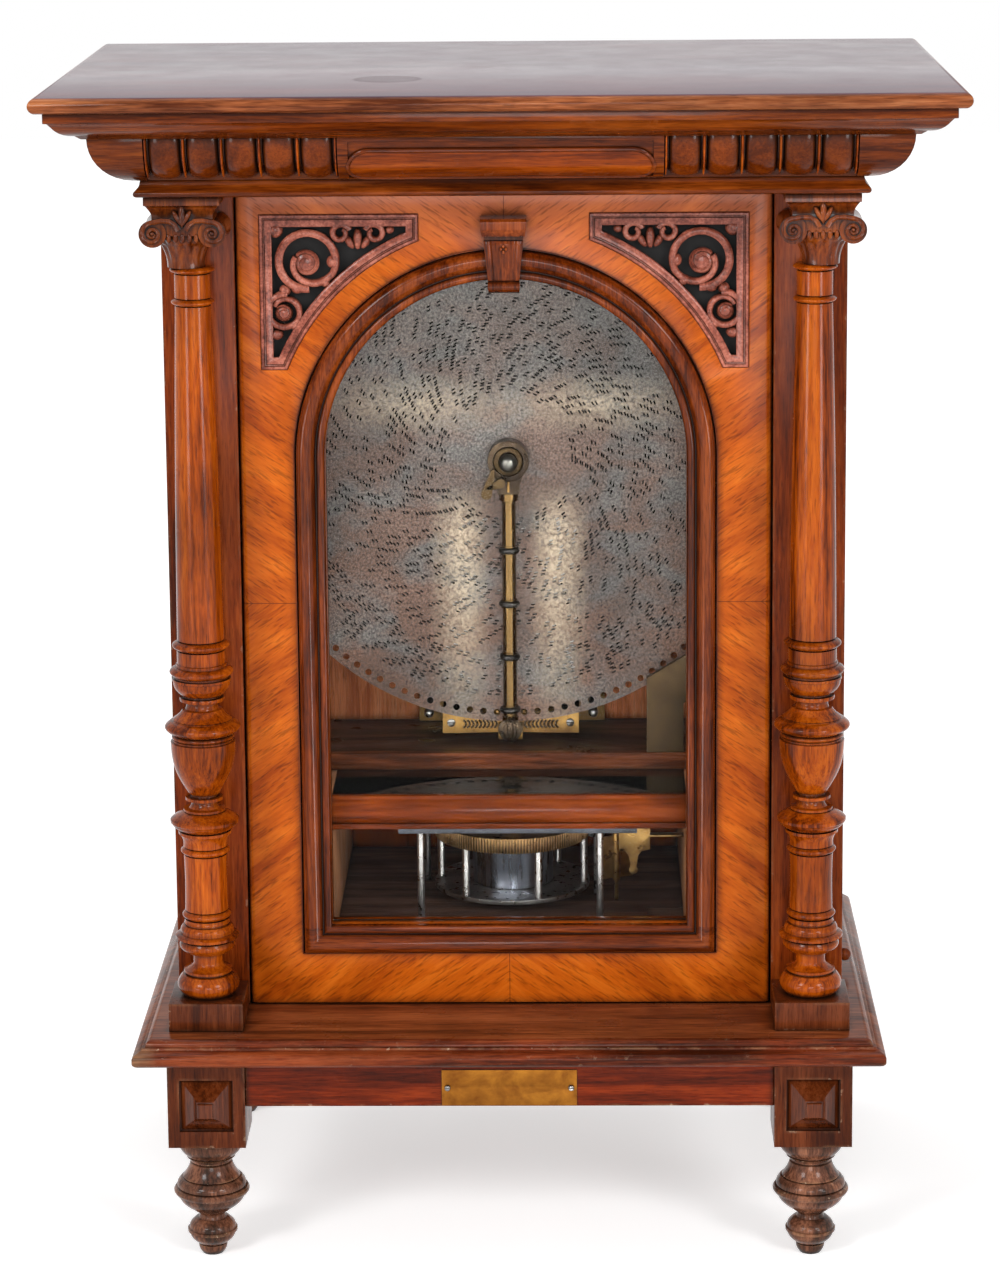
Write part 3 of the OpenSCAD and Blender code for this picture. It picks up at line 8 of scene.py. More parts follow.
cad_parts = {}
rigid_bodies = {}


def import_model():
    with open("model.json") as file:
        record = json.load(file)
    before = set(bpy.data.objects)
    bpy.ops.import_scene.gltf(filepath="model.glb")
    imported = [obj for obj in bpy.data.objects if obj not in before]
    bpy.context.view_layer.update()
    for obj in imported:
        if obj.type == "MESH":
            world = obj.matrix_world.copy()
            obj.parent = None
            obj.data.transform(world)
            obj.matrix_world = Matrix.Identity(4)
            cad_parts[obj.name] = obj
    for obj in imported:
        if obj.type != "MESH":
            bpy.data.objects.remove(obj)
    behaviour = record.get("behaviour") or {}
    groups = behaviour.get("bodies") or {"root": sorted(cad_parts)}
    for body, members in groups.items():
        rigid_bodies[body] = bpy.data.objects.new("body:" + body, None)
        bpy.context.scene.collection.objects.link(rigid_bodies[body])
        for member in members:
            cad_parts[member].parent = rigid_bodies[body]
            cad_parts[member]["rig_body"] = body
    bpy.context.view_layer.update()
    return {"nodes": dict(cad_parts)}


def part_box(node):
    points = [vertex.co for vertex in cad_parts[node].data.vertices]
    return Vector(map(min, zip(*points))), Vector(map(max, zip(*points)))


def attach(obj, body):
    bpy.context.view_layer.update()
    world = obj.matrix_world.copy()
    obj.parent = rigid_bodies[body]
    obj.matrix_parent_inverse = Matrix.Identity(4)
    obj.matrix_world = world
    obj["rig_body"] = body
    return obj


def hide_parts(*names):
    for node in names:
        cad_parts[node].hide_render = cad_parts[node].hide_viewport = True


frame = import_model()
scene = bpy.context.scene

# Lengths below are in millimetres and become metres when a mesh is made
MM = 0.001
MERGE_GAP, TINY_EDGE = 0.004, 0.002
FLAT_ANGLE = 0.6
SQUARE = ((-1, -1), (1, -1), (1, 1), (-1, 1))


def low(name):
    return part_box(name)[0] / MM


def high(name):
    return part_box(name)[1] / MM


def middle(name):
    return (low(name) + high(name)) / 2


def span(name):
    return high(name) - low(name)


# Places read from the frame
DOOR_FACE = low("door_panel").y
DISC = middle("tune_disc")
DISC_RADIUS = span("tune_disc").x / 2


# Mesh building

class Shape:
    """Points in millimetres and the faces between them."""

    def __init__(self):
        self.points = []
        self.faces = []

    def grid(self, rows, ring=False, loop=False):
        start, count = len(self.points), len(rows[0])
        for row in rows:
            self.points.extend(row)
        for i in range(len(rows) if loop else len(rows) - 1):
            here, after = start + i * count, start + (i + 1) % len(rows) * count
            for j in range(count if ring else count - 1):
                k = (j + 1) % count
                self.faces.append((here + j, here + k, after + k, after + j))

    def cap(self, row):
        start = len(self.points)
        self.points.extend(row)
        self.faces.append(tuple(range(start, start + len(row))))

    def tube(self, rows):
        self.grid(rows, ring=True)
        self.cap(rows[0])
        self.cap(rows[-1])

    def moved(self, x, y, z):
        self.points = [(a + x, b + y, c + z) for a, b, c in self.points]

    def mirrored(self):
        count = len(self.points)
        self.points.extend([(-x, y, z) for x, y, z in self.points])
        self.faces.extend([tuple(i + count for i in face) for face in self.faces])


def shares(count):
    """Even steps from nought to one."""
    return [i / count for i in range(count + 1)]


def swell(r0, z0, r1, z1, bulge, steps=9):
    """A turned curve from one radius and height to another, swelling between them."""
    return [(r0 + (r1 - r0) * t + bulge * math.sin(math.pi * t), z0 + (z1 - z0) * t) for t in shares(steps)]


def circle(radius, count):
    angles = [math.tau * i / count for i in range(count)]
    return [(radius * math.cos(a), radius * math.sin(a)) for a in angles]


def turned(shape, profile, x, y, z, count=72, cut=None):
    """A turned solid standing on a point, with its radius changed by a carving rule."""
    rows = []
    for radius, height in profile:
        row = []
        for i in range(count):
            angle = math.tau * i / count
            r = radius + (cut(angle, height) if cut else 0)
            row.append((x + r * math.cos(angle), y + r * math.sin(angle), z + height))
        rows.append(row)
    shape.tube(rows)


def turned_y(shape, profile, x, z, count=56):
    """A turned solid about a front to back line, from points of radius and depth."""
    shape.tube([[(x + a, y, z + b) for a, b in circle(r, count)] for r, y in profile])


def egg(shape, centre, radii, tilt=0.0, count=20, rings=12):
    """An ellipsoid, tilted in the plane of the front."""
    rows = []
    for i in range(1, rings):
        polar = math.pi * i / rings
        row = []
        for a, b in circle(math.sin(polar), count):
            u, v, w = a * radii[0], b * radii[1], -math.cos(polar) * radii[2]
            row.append((centre[0] + u * math.cos(tilt) + w * math.sin(tilt), centre[1] + v,
                        centre[2] - u * math.sin(tilt) + w * math.cos(tilt)))
        rows.append(row)
    shape.tube(rows)


# Places across a strap, each with its share of the dome's fall, or none at the back
STRAP_SECTION = ((-1, None), (-1, 1), (-0.6, 0.3), (0, 0), (0.6, 0.3), (1, 1), (1, None))


def ribbon(shape, path, half, front, back, dome=1.2):
    """A carved strap along a path in the plane of the front, with a domed face."""
    rows = []
    for i, (x, z) in enumerate(path):
        ahead = path[min(i + 1, len(path) - 1)]
        behind = path[max(i - 1, 0)]
        along = Vector((ahead[0] - behind[0], ahead[1] - behind[1])).normalized()
        wide = half(i / (len(path) - 1)) if callable(half) else half
        rows.append([(x - along.y * wide * across, back if fall is None else front + fall * dome,
                      z + along.x * wide * across) for across, fall in STRAP_SECTION])
    shape.tube(rows)


def spiral(x, z, start, turn, radius, steps, drift=(0, 0)):
    """Points of a scroll whose radius follows a rule as it turns."""
    path = []
    for t in shares(steps):
        angle = math.radians(start + turn * t)
        r = radius(t)
        path.append((x + drift[0] * t + r * math.cos(angle), z + drift[1] * t + r * math.sin(angle)))
    return path


def box(shape, a, b):
    shape.tube([[(a[0], a[1], z), (b[0], a[1], z), (b[0], b[1], z), (a[0], b[1], z)] for z in (a[2], b[2])])


def settle(mesh, bevel=0.0, sharp=38):
    """Closes the seams of a mesh, rounds its hard edges a little and smooths what is round."""
    work = bmesh.new()
    work.from_mesh(mesh)
    bmesh.ops.remove_doubles(work, verts=work.verts, dist=MERGE_GAP * MM)
    bmesh.ops.dissolve_degenerate(work, edges=work.edges, dist=TINY_EDGE * MM)
    bmesh.ops.recalc_face_normals(work, faces=work.faces)
    if bevel:
        bmesh.ops.dissolve_limit(work, angle_limit=math.radians(FLAT_ANGLE), verts=work.verts,
                                 edges=work.edges)
        hard = [e for e in work.edges if len(e.link_faces) == 2
                and e.calc_face_angle(0) > math.radians(sharp)]
        bmesh.ops.bevel(work, geom=hard, offset=bevel * MM, segments=2, profile=0.6, affect="EDGES",
                        clamp_overlap=True)
        bmesh.ops.recalc_face_normals(work, faces=work.faces)
    work.to_mesh(mesh)
    work.free()
    mesh.shade_smooth()
    mesh.set_sharp_from_angle(angle=math.radians(sharp))


def form(name, shape, bevel=0.0, sharp=38):
    """The finished mesh of a shape."""
    mesh = bpy.data.meshes.new(name)
    mesh.from_pydata([Vector(p) * MM for p in shape.points], [], shape.faces)
    settle(mesh, bevel, sharp)
    return mesh


def show(name, mesh, body, slot, material, nodes=()):
    """Puts a finished mesh in the scene as a piece of a body."""
    piece = bpy.data.objects.new(name, mesh)
    scene.collection.objects.link(piece)
    mesh.materials.clear()
    mesh.materials.append(material)
    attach(piece, body)
    if nodes:
        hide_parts(*nodes)
    return piece


def carve(name, shape, body, slot, material, nodes=(), bevel=0.0, sharp=38):
    """A piece made from a shape."""
    return show(name, form(name, shape, bevel, sharp), body, slot, material, nodes)


def dress(name, slot, material, bevel):
    """A piece made from a node's own form, with its edges eased."""
    source = frame["nodes"][name]
    mesh = source.data.copy()
    mesh.name = name + "_finish"
    settle(mesh, bevel)
    return show(name + "_finish", mesh, source["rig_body"], slot, material, (name,))


# Node trees

class Net:
    """A node tree in the making: most words add a node and give back one of its outputs."""

    def __init__(self, tree):
        self.tree = tree

    def plug(self, socket, value):
        if isinstance(value, bpy.types.NodeSocket):
            self.tree.links.new(value, socket)
        elif value is not None:
            socket.default_value = value

    def make(self, kind, inputs=None, **settings):
        item = self.tree.nodes.new(kind)
        for key, value in settings.items():
            setattr(item, key, value)
        for key, value in (inputs or {}).items():
            self.plug(item.inputs[key], value)
        return item

    def add(self, kind, inputs=None, output=0, **settings):
        return self.make("ShaderNode" + kind, inputs, **settings).outputs[output]

    def geo(self, kind, inputs=None, output=0, **settings):
        return self.make("GeometryNode" + kind, inputs, **settings).outputs[output]

    def calc(self, how, a, b=0.0, c=None, clamp=False):
        item = self.make("ShaderNodeMath", operation=how, use_clamp=clamp)
        for socket, value in zip(item.inputs, (a, b, c)):
            self.plug(socket, value)
        return item.outputs[0]

    def times(self, a, b):
        return self.calc("MULTIPLY", a, b)

    def weighed(self, a, share, b):
        return self.calc("ADD", self.times(a, share), self.times(b, 1 - share))

    def seen(self):
        """One for rays that look at the background, straight or by way of metal and glass."""
        path = self.make("ShaderNodeLightPath").outputs
        looked = self.calc("ADD", path["Is Camera Ray"], path["Is Glossy Ray"])
        return self.calc("ADD", looked, path["Is Transmission Ray"], clamp=True)

    def join(self, *parts):
        item = self.make("GeometryNodeJoinGeometry")
        for part in parts:
            self.tree.links.new(part, item.inputs[0])
        return item.outputs[0]

    def end(self, geometry, finish):
        """Makes the copies real, gives them their finish and hands them out."""
        real = self.geo("RealizeInstances", {"Geometry": geometry})
        painted = self.geo("SetMaterial", {"Geometry": real, "Material": finish})
        self.make("NodeGroupOutput", {0: painted})


def rule(name, inputs):
    """A rule that repeats a form: its net and its named inputs."""
    tree = bpy.data.node_groups.new(name, "GeometryNodeTree")
    for kind, labels in inputs.items():
        for label in labels:
            tree.interface.new_socket(label, in_out="INPUT", socket_type="NodeSocket" + kind)
    tree.interface.new_socket("Geometry", in_out="OUTPUT", socket_type="NodeSocketGeometry")
    net = Net(tree)
    return net, net.make("NodeGroupInput").outputs


def grow(name, tree, values):
    """The mesh that a rule makes once its inputs are set."""
    holder = bpy.data.objects.new(name, bpy.data.meshes.new(name))
    scene.collection.objects.link(holder)
    modifier = holder.modifiers.new("Rule", "NODES")
    modifier.node_group = tree
    for item in tree.interface.items_tree:
        if item.in_out == "INPUT":
            modifier[item.identifier] = values[item.name]
    evaluated = holder.evaluated_get(bpy.context.evaluated_depsgraph_get())
    mesh = bpy.data.meshes.new_from_object(evaluated)
    bpy.data.objects.remove(holder)
    settle(mesh)
    return mesh


class Finish(Net):
    """A material in the making, on Object coordinates."""

    def __init__(self, name):
        self.material = bpy.data.materials.new(name)
        self.material.use_nodes = True
        super().__init__(self.material.node_tree)
        self.tree.nodes.clear()

    def place(self, scale=(1, 1, 1), turn=(0, 0, 0), vector=None):
        """Object coordinates, or a given vector, turned and stretched."""
        source = vector or self.add("TexCoord", output="Object")
        turned_by = tuple(math.radians(a) for a in turn)
        return self.add("Mapping", {"Vector": source, "Scale": scale, "Rotation": turned_by})

    def part(self, vector, axis):
        return self.add("SeparateXYZ", {"Vector": vector}, axis)

    def away(self, vector, spot):
        """Distance from a place."""
        return self.add("VectorMath", {0: vector, 1: Vector(spot) * MM}, "Value", operation="DISTANCE")

    def noise(self, vector, scale, detail=3.0, rough=0.55, bend=0.0):
        return self.add("TexNoise", {"Vector": vector, "Scale": scale, "Detail": detail, "Roughness": rough,
                                     "Distortion": bend}, "Fac")

    def ramp(self, value, *stops):
        """Colours or levels that change along a value."""
        item = self.make("ShaderNodeValToRGB", {"Fac": value})
        band = item.color_ramp
        while len(band.elements) < len(stops):
            band.elements.new(0.5)
        for element, (where, colour) in zip(band.elements, stops):
            element.position = where
            element.color = (*colour, 1) if isinstance(colour, tuple) else (colour, colour, colour, 1)
        return item.outputs["Color"]

    def blend(self, amount, a, b, how="MIX"):
        item = self.make("ShaderNodeMix", data_type="RGBA", blend_type=how)
        for index, value in ((0, amount), (6, a), (7, b)):
            self.plug(item.inputs[index], (*value, 1) if isinstance(value, tuple) else value)
        return item.outputs[2]

    def relief(self, height, strength, depth):
        return self.add("Bump", {"Height": height, "Strength": strength, "Distance": depth * MM})

    def grimed_and_shaded(self, colour, reach, shade, grime_and_shade):
        """The colour with grime and painted shade in its corners and grooves, darkened where ambient
        occlusion finds nearby surfaces.
        """
        open_air = self.add("AmbientOcclusion", {"Distance": reach * MM}, "AO", samples=6)
        return self.blend(self.ramp(open_air, (shade[0], 0.0), (shade[1], 1.0)), grime_and_shade, colour)

    def hide(self, colour, disc_shadow):
        """Painted shadow: blackened within a circle seen from the front, where the disc in front shades the
        surface.
        """
        spot, near, far = disc_shadow
        away = self.away(self.place((1, 0, 1)), spot)
        return self.blend(self.ramp(away, (near * MM, 0.0), (far * MM, 1.0)), DISC_SHADOW_BLACK, colour)

    def surface(self, inputs):
        self.make("ShaderNodeOutputMaterial", {"Surface": self.add("BsdfPrincipled", inputs)})
        return self.material


# Wood

GRAIN_STRETCH = 0.07
# Grime and painted shade, laid into grooves and corners by ambient occlusion
GROOVE_GRIME_AND_SHADE = (0.016, 0.006, 0.003)
# Colour of the painted shadow of the disc
DISC_SHADOW_BLACK = (0.003, 0.002, 0.002)
WEAR_REACH = 3.0
WORN_WOOD = (0.30, 0.15, 0.075)
CHIPPED_WOOD = (0.62, 0.45, 0.30)
BITTEN_WOOD = (0.12, 0.060, 0.030)
VARNISH_BEND = 1.3
WOOD_SHINE, TOP_SHINE = 0.04, 0.005
TOP_STAIN = (-99, -111, high("top_board").z)
TOP_STAIN_R = 29


def sheen_and_marks(own, plain, colour, top_sheen):
    """A painted mauve sheen on the upward face, standing in for its reflection, and the marks on it:
    scratches along the grain and a round stain.
    """
    upward = own.part(own.add("NewGeometry", output="Normal"), "Z")
    stained = own.ramp(own.away(plain, TOP_STAIN), ((TOP_STAIN_R - 6) * MM, 0.55), (TOP_STAIN_R * MM, 0.25),
                       ((TOP_STAIN_R + 1.5) * MM, 1.0))
    scratches = own.ramp(own.noise(own.place((0.12, 1, 1)), 110, 4, 0.6), (0.25, 0.0), (0.32, 1.0))
    marks = own.times(scratches, stained)
    sheened = own.blend(0.5, own.blend(0.5, top_sheen, colour, "OVERLAY"), marks, "MULTIPLY")
    return own.blend(own.ramp(upward, (0.90, 0.0), (0.99, 0.85)), colour, sheened), marks


def worn(own, plain, colour, wear):
    """Edges rubbed in patches, with small chips."""
    edges = own.add("AmbientOcclusion", {"Distance": WEAR_REACH * MM}, "AO", samples=6, inside=True,
                    only_local=True)
    patches = own.ramp(own.noise(plain, 48, 5, 0.65), (0.46, 0.0), (0.60, wear))
    rubbed = own.times(own.ramp(edges, (0.66, 1.0), (0.96, 0.0)), patches)
    chips = own.ramp(own.noise(plain, 150, 2), (0.66, 0.0), (0.69, 1.0))
    chipped = own.times(chips, own.ramp(edges, (0.70, wear), (0.95, 0.0)))
    return own.blend(chipped, own.blend(rubbed, colour, WORN_WOOD), CHIPPED_WOOD)


def bitten(own, plain, lines, colour, corner):
    """A corner that has lost its varnish."""
    spot, size = corner
    edge = own.calc("MULTIPLY_ADD", own.noise(plain, 70, 4), size * MM, own.away(plain, spot))
    bare = own.ramp(edge, (size * 0.70 * MM, 0.80), (size * 1.2 * MM, 0.0))
    return own.blend(bare, colour, own.ramp(lines, (0.40, BITTEN_WOOD), (0.62, WORN_WOOD)))


def wood(name, tones, along, gloss=0.28, coat=0.3, reach=9, shade=(0.30, 0.85), wear=0.0, nose=None,
         top_sheen=None, disc_shadow=None, corner=None, sill=None):
    """Polished walnut: long streaks, fine lines, pores, cloudy patches, and grime with painted shade in the
    grooves.
    """
    own = Finish(name)
    plain = own.place()
    grain = own.place([GRAIN_STRETCH if axis == along else 1.0 for axis in "xyz"])
    if sill:
        below = own.calc("LESS_THAN", own.part(plain, "Z"), sill * MM)
        grain = own.blend(below, grain, own.place((GRAIN_STRETCH, 1, 1)))
    lines = own.noise(grain, 400, 3, 0.6)
    tone = own.weighed(own.noise(grain, 44, 4, 0.6, 0.8), 0.62, lines)
    colour = own.ramp(tone, *zip((0.38, 0.50, 0.62), tones))
    if nose:
        front, nose_tones = nose
        ahead = own.calc("LESS_THAN", own.part(plain, "Y"), front * MM)
        colour = own.blend(ahead, colour, own.ramp(tone, *zip((0.40, 0.50, 0.60), nose_tones)))
    clouds = own.ramp(own.noise(plain, 7, 3), (0.34, 0.66), (0.66, 1.15))
    pores = own.ramp(own.noise(grain, 1000, 2, 0.5), (0.32, 0.5), (0.46, 1.0))
    colour = own.blend(0.8, own.blend(1.0, colour, clouds, "MULTIPLY"), pores, "MULTIPLY")
    # Painted sheen on an upward face, with its real scratches and stain
    if top_sheen:
        colour, marks = sheen_and_marks(own, plain, colour, top_sheen)
        coat = own.times(marks, coat)
    if wear:
        colour = worn(own, plain, colour, wear)
    if corner:
        colour = bitten(own, plain, lines, colour, corner)
    if disc_shadow:
        colour = own.hide(colour, disc_shadow)
    return own.surface({
        "Base Color": own.grimed_and_shaded(colour, reach, shade, GROOVE_GRIME_AND_SHADE), "Coat Weight": coat,
        "Roughness": own.ramp(own.noise(plain, 22, 4), (0.3, gloss * 0.8), (0.7, gloss * 1.45)),
        "Specular IOR Level": TOP_SHINE if top_sheen else WOOD_SHINE, "Coat Roughness": gloss * 0.6,
        "Coat IOR": VARNISH_BEND, "Normal": own.relief(lines, 0.07, 0.3)})


VENEER_SLANT = -55
VENEER_JOINT, VENEER_JOINT_WIDE = 591, 0.7
# Heights over which the painted sheen on the door rises
VENEER_SHEEN_RISE = (890, 960)
VENEER_TONES = (0.29, 0.045, 0.002), (0.47, 0.090, 0.004), (0.58, 0.135, 0.009)
VENEER_PAINTED_SHEEN = (0.47, 0.150, 0.072)
VENEER_LINE = (0.07, 0.016, 0.004)


def veneer(name):
    """Walnut leaves matched about the middle and about a level joint, with slanting figure, a painted sheen
    towards the top, and grime with painted shade in the hollows.
    """
    own = Finish(name)
    plain = own.place()
    x, y, z = (own.part(plain, axis) for axis in "XYZ")
    above = own.calc("SUBTRACT", z, VENEER_JOINT * MM)
    leaf = own.add("CombineXYZ", {"X": own.calc("ABSOLUTE", x), "Y": y, "Z": own.calc("ABSOLUTE", above)})
    slanted = own.place(turn=(0, VENEER_SLANT, 0), vector=leaf)

    def figure(stretch, *recipe):
        return own.noise(own.place((1, 1, stretch), vector=slanted), *recipe)

    lines = figure(0.13, 260, 4, 0.62, 0.5)
    tone = own.weighed(figure(0.30, 24, 3, 0.55, 0.9), 0.6, lines)
    colour = own.ramp(tone, *zip((0.36, 0.50, 0.64), VENEER_TONES))
    # Painted sheen: the door is greyed towards a pale haze near its top, standing in for a reflection
    upper = own.add("MapRange", {"Value": z, "From Min": VENEER_SHEEN_RISE[0] * MM,
                                 "From Max": VENEER_SHEEN_RISE[1] * MM, "To Max": 0.6})
    colour = own.blend(upper, colour, VENEER_PAINTED_SHEEN)
    knots = own.ramp(own.noise(leaf, 9, 3, 0.6, 0.8), (0.30, 0.70), (0.46, 0.97), (0.70, 1.10))
    colour = own.blend(1.0, colour, knots, "MULTIPLY")
    flecks = own.ramp(figure(0.10, 760, 2, 0.5), (0.34, 0.50), (0.46, 1.0))
    colour = own.blend(0.85, colour, flecks, "MULTIPLY")
    for distance in (above, x):
        at_joint = own.calc("COMPARE", distance, 0.0, VENEER_JOINT_WIDE * MM / 2)
        colour = own.blend(own.times(at_joint, 0.75), colour, VENEER_LINE)
    return own.surface({
        "Base Color": own.grimed_and_shaded(colour, 12, (0.25, 0.85), GROOVE_GRIME_AND_SHADE), "Coat Weight": 0.35,
        "Roughness": own.ramp(own.noise(leaf, 30, 4), (0.3, 0.26), (0.7, 0.42)), "Coat Roughness": 0.18,
        "Specular IOR Level": WOOD_SHINE, "Coat IOR": VARNISH_BEND, "Normal": own.relief(lines, 0.08, 0.4)})


CASE_TONES = (0.060, 0.009, 0.002), (0.175, 0.026, 0.003), (0.28, 0.052, 0.007)
# Brighter than the low tones: painted sheen for the base board's top
BASE_SHEEN_TONES = (0.090, 0.020, 0.006), (0.24, 0.056, 0.015), (0.38, 0.105, 0.032)
LOW_TONES = (0.048, 0.008, 0.002), (0.135, 0.021, 0.005), (0.23, 0.045, 0.012)
BLOCK_TONES = (0.040, 0.008, 0.002), (0.092, 0.018, 0.004), (0.155, 0.036, 0.010)
APRON_TONES = (0.058, 0.007, 0.001), (0.155, 0.016, 0.002), (0.26, 0.034, 0.005)
FOOT_TONES = (0.032, 0.016, 0.010), (0.125, 0.047, 0.026), (0.30, 0.120, 0.064)
COLUMN_TONES = (0.085, 0.012, 0.001), (0.29, 0.046, 0.001), (0.45, 0.092, 0.004)
BARREL_TONES = (0.070, 0.011, 0.001), (0.120, 0.019, 0.001), (0.18, 0.032, 0.002)
FIELD_TONES = (0.085, 0.012, 0.001), (0.21, 0.033, 0.001), (0.32, 0.062, 0.004)
NOSE_TONES = (0.055, 0.013, 0.004), (0.16, 0.040, 0.011), (0.30, 0.090, 0.030)
CHEEK_TONES = (0.42, 0.165, 0.072), (0.56, 0.25, 0.112), (0.66, 0.33, 0.16)
CARVED_TONES = (0.045, 0.007, 0.001), (0.135, 0.023, 0.002), (0.24, 0.050, 0.005)
MOULD_TONES = (0.045, 0.007, 0.001), (0.14, 0.022, 0.002), (0.28, 0.055, 0.007)
TOP_TONES = (0.085, 0.018, 0.005), (0.24, 0.068, 0.022), (0.40, 0.145, 0.055)
FRET_TONES = (0.105, 0.025, 0.015), (0.26, 0.066, 0.040), (0.45, 0.145, 0.094)
INNER_TONES = (0.44, 0.115, 0.037), (0.74, 0.235, 0.080), (0.84, 0.34, 0.135)
BLACK_TONES = (0.018, 0.008, 0.005), (0.045, 0.018, 0.010), (0.11, 0.048, 0.027)
FLOOR_TONES = (0.044, 0.023, 0.016), (0.10, 0.052, 0.036), (0.21, 0.115, 0.080)
# Colour of the painted reflection on the top board's upward face
TOP_PAINTED_SHEEN = (0.125, 0.060, 0.13)
TURNED_SHADE = (0.42, 0.92)
BASE_CORNER = ((low("base_board").x, low("base_board").y, high("base_board").z - 12), 36)
# The base board's front edge keeps the low tones; the rest of it takes the brighter tones that paint the
# sheen on its top
BASE_NOSE = (low("base_board").y + 16, LOW_TONES)
SHELF_NOSE = (low("shelf").y + 8, NOSE_TONES)
SILL_TOP = low("arch_moulding").z + 27
# Painted shadow of the disc on the board and bedplate behind it: its centre, a little below the disc's, and
# the radii over which it fades
BOARD_DISC_SHADOW = ((DISC.x, 0, DISC.z - 16), DISC_RADIUS - 8, DISC_RADIUS)

case_upright = wood("case_walnut_upright", CASE_TONES, "z", coat=0.15, wear=0.3)
base_long = wood("base_walnut_long", BASE_SHEEN_TONES, "x", coat=0.35, wear=0.8, nose=BASE_NOSE, corner=BASE_CORNER)
low_upright = wood("block_walnut_upright", BLOCK_TONES, "z", coat=0.35, wear=0.25)
boss_wood = wood("boss_walnut_upright", BLOCK_TONES, "z", gloss=0.16, coat=1.0, reach=4, shade=(0.25, 0.8))
low_long = wood("apron_walnut_long", APRON_TONES, "x", coat=0.4, wear=0.6)
foot_wood = wood("foot_walnut_upright", FOOT_TONES, "z", gloss=0.22, coat=0.6, reach=5, shade=TURNED_SHADE,
                 wear=1.0)
column_wood = wood("column_walnut_upright", COLUMN_TONES, "z", gloss=0.21, coat=0.5, reach=6,
                   shade=TURNED_SHADE)
carved_upright = wood("carved_walnut_upright", CARVED_TONES, "z", gloss=0.22, coat=0.6, shade=(0.46, 0.94))
carved_long = wood("carved_walnut_long", CARVED_TONES, "x", gloss=0.22, coat=0.4)
# Gadroon lobes: a long occlusion reach with a high threshold paints shade down the sides of each lobe
barrel_wood = wood("barrel_walnut_plain", BARREL_TONES, "", gloss=0.2, coat=0.4, reach=12, shade=(0.50, 1.0))
bar_wood = wood("bar_walnut_upright", COLUMN_TONES, "z", gloss=0.2, coat=0.6, reach=4, shade=(0.40, 0.85))
field_wood = wood("field_walnut_long", FIELD_TONES, "x", gloss=0.24, coat=0.5, reach=6)
rail_wood = wood("rail_walnut_long", FIELD_TONES, "x", gloss=0.2, coat=0.4, reach=6)
mould_wood = wood("moulding_walnut_upright", MOULD_TONES, "z", gloss=0.2, coat=0.55, reach=6,
                  shade=TURNED_SHADE, sill=SILL_TOP)
top_wood = wood("top_walnut_long", TOP_TONES, "x", gloss=0.14, coat=0.38, top_sheen=TOP_PAINTED_SHEEN)
fret_wood = wood("fret_walnut_plain", FRET_TONES, "", gloss=0.28, coat=0.9, reach=7, shade=TURNED_SHADE)
door_wood = veneer("book_matched_veneer")
inner_wood = wood("inner_wood_upright", INNER_TONES, "z", gloss=0.45, coat=0.0, reach=12, disc_shadow=BOARD_DISC_SHADOW)
cheek_wood = wood("cheek_wood_upright", CHEEK_TONES, "z", gloss=0.45, coat=0.0, reach=12)
shelf_wood = wood("black_shelf_long", BLACK_TONES, "x", gloss=0.3, coat=0.2, nose=SHELF_NOSE)
black_wood = wood("black_wood_long", FLOOR_TONES, "x", gloss=0.4, coat=0.1)


# Metal, glass and cloth

# Grime and painted shade, laid into metal corners by ambient occlusion
METAL_GRIME_AND_SHADE = (0.02, 0.014, 0.008)


def metal(name, colour, tint, rough=(0.25, 0.45), scale=60, metallic=1.0, reach=5, stretch=(1, 1, 1),
          bump=0.02, disc_shadow=None):
    """Worn metal: mottled tone, uneven polish, and grime with painted shade in its corners."""
    own = Finish(name)
    plain = own.place(stretch)
    shade = own.ramp(own.noise(plain, scale, 5, 0.62, 0.4), (0.36, tint), (0.60, colour))
    shade = own.grimed_and_shaded(shade, reach, (0.30, 0.80), METAL_GRIME_AND_SHADE)
    if disc_shadow:
        shade = own.hide(shade, disc_shadow)
    return own.surface({
        "Base Color": shade, "Metallic": metallic,
        "Roughness": own.ramp(own.noise(plain, scale * 2.4, 4), (0.32, rough[0]), (0.68, rough[1])),
        "Normal": own.relief(own.noise(plain, scale * 5, 3), bump, 0.3)})


STEEL_FILM = (0.040, 0.037, 0.035), (0.125, 0.120, 0.113), (0.24, 0.23, 0.215)
BROWN_FILM = (0.050, 0.024, 0.016), (0.25, 0.135, 0.088)
# Colour of the painted highlights on the disc
HIGHLIGHT_STEEL = (0.60, 0.48, 0.34)


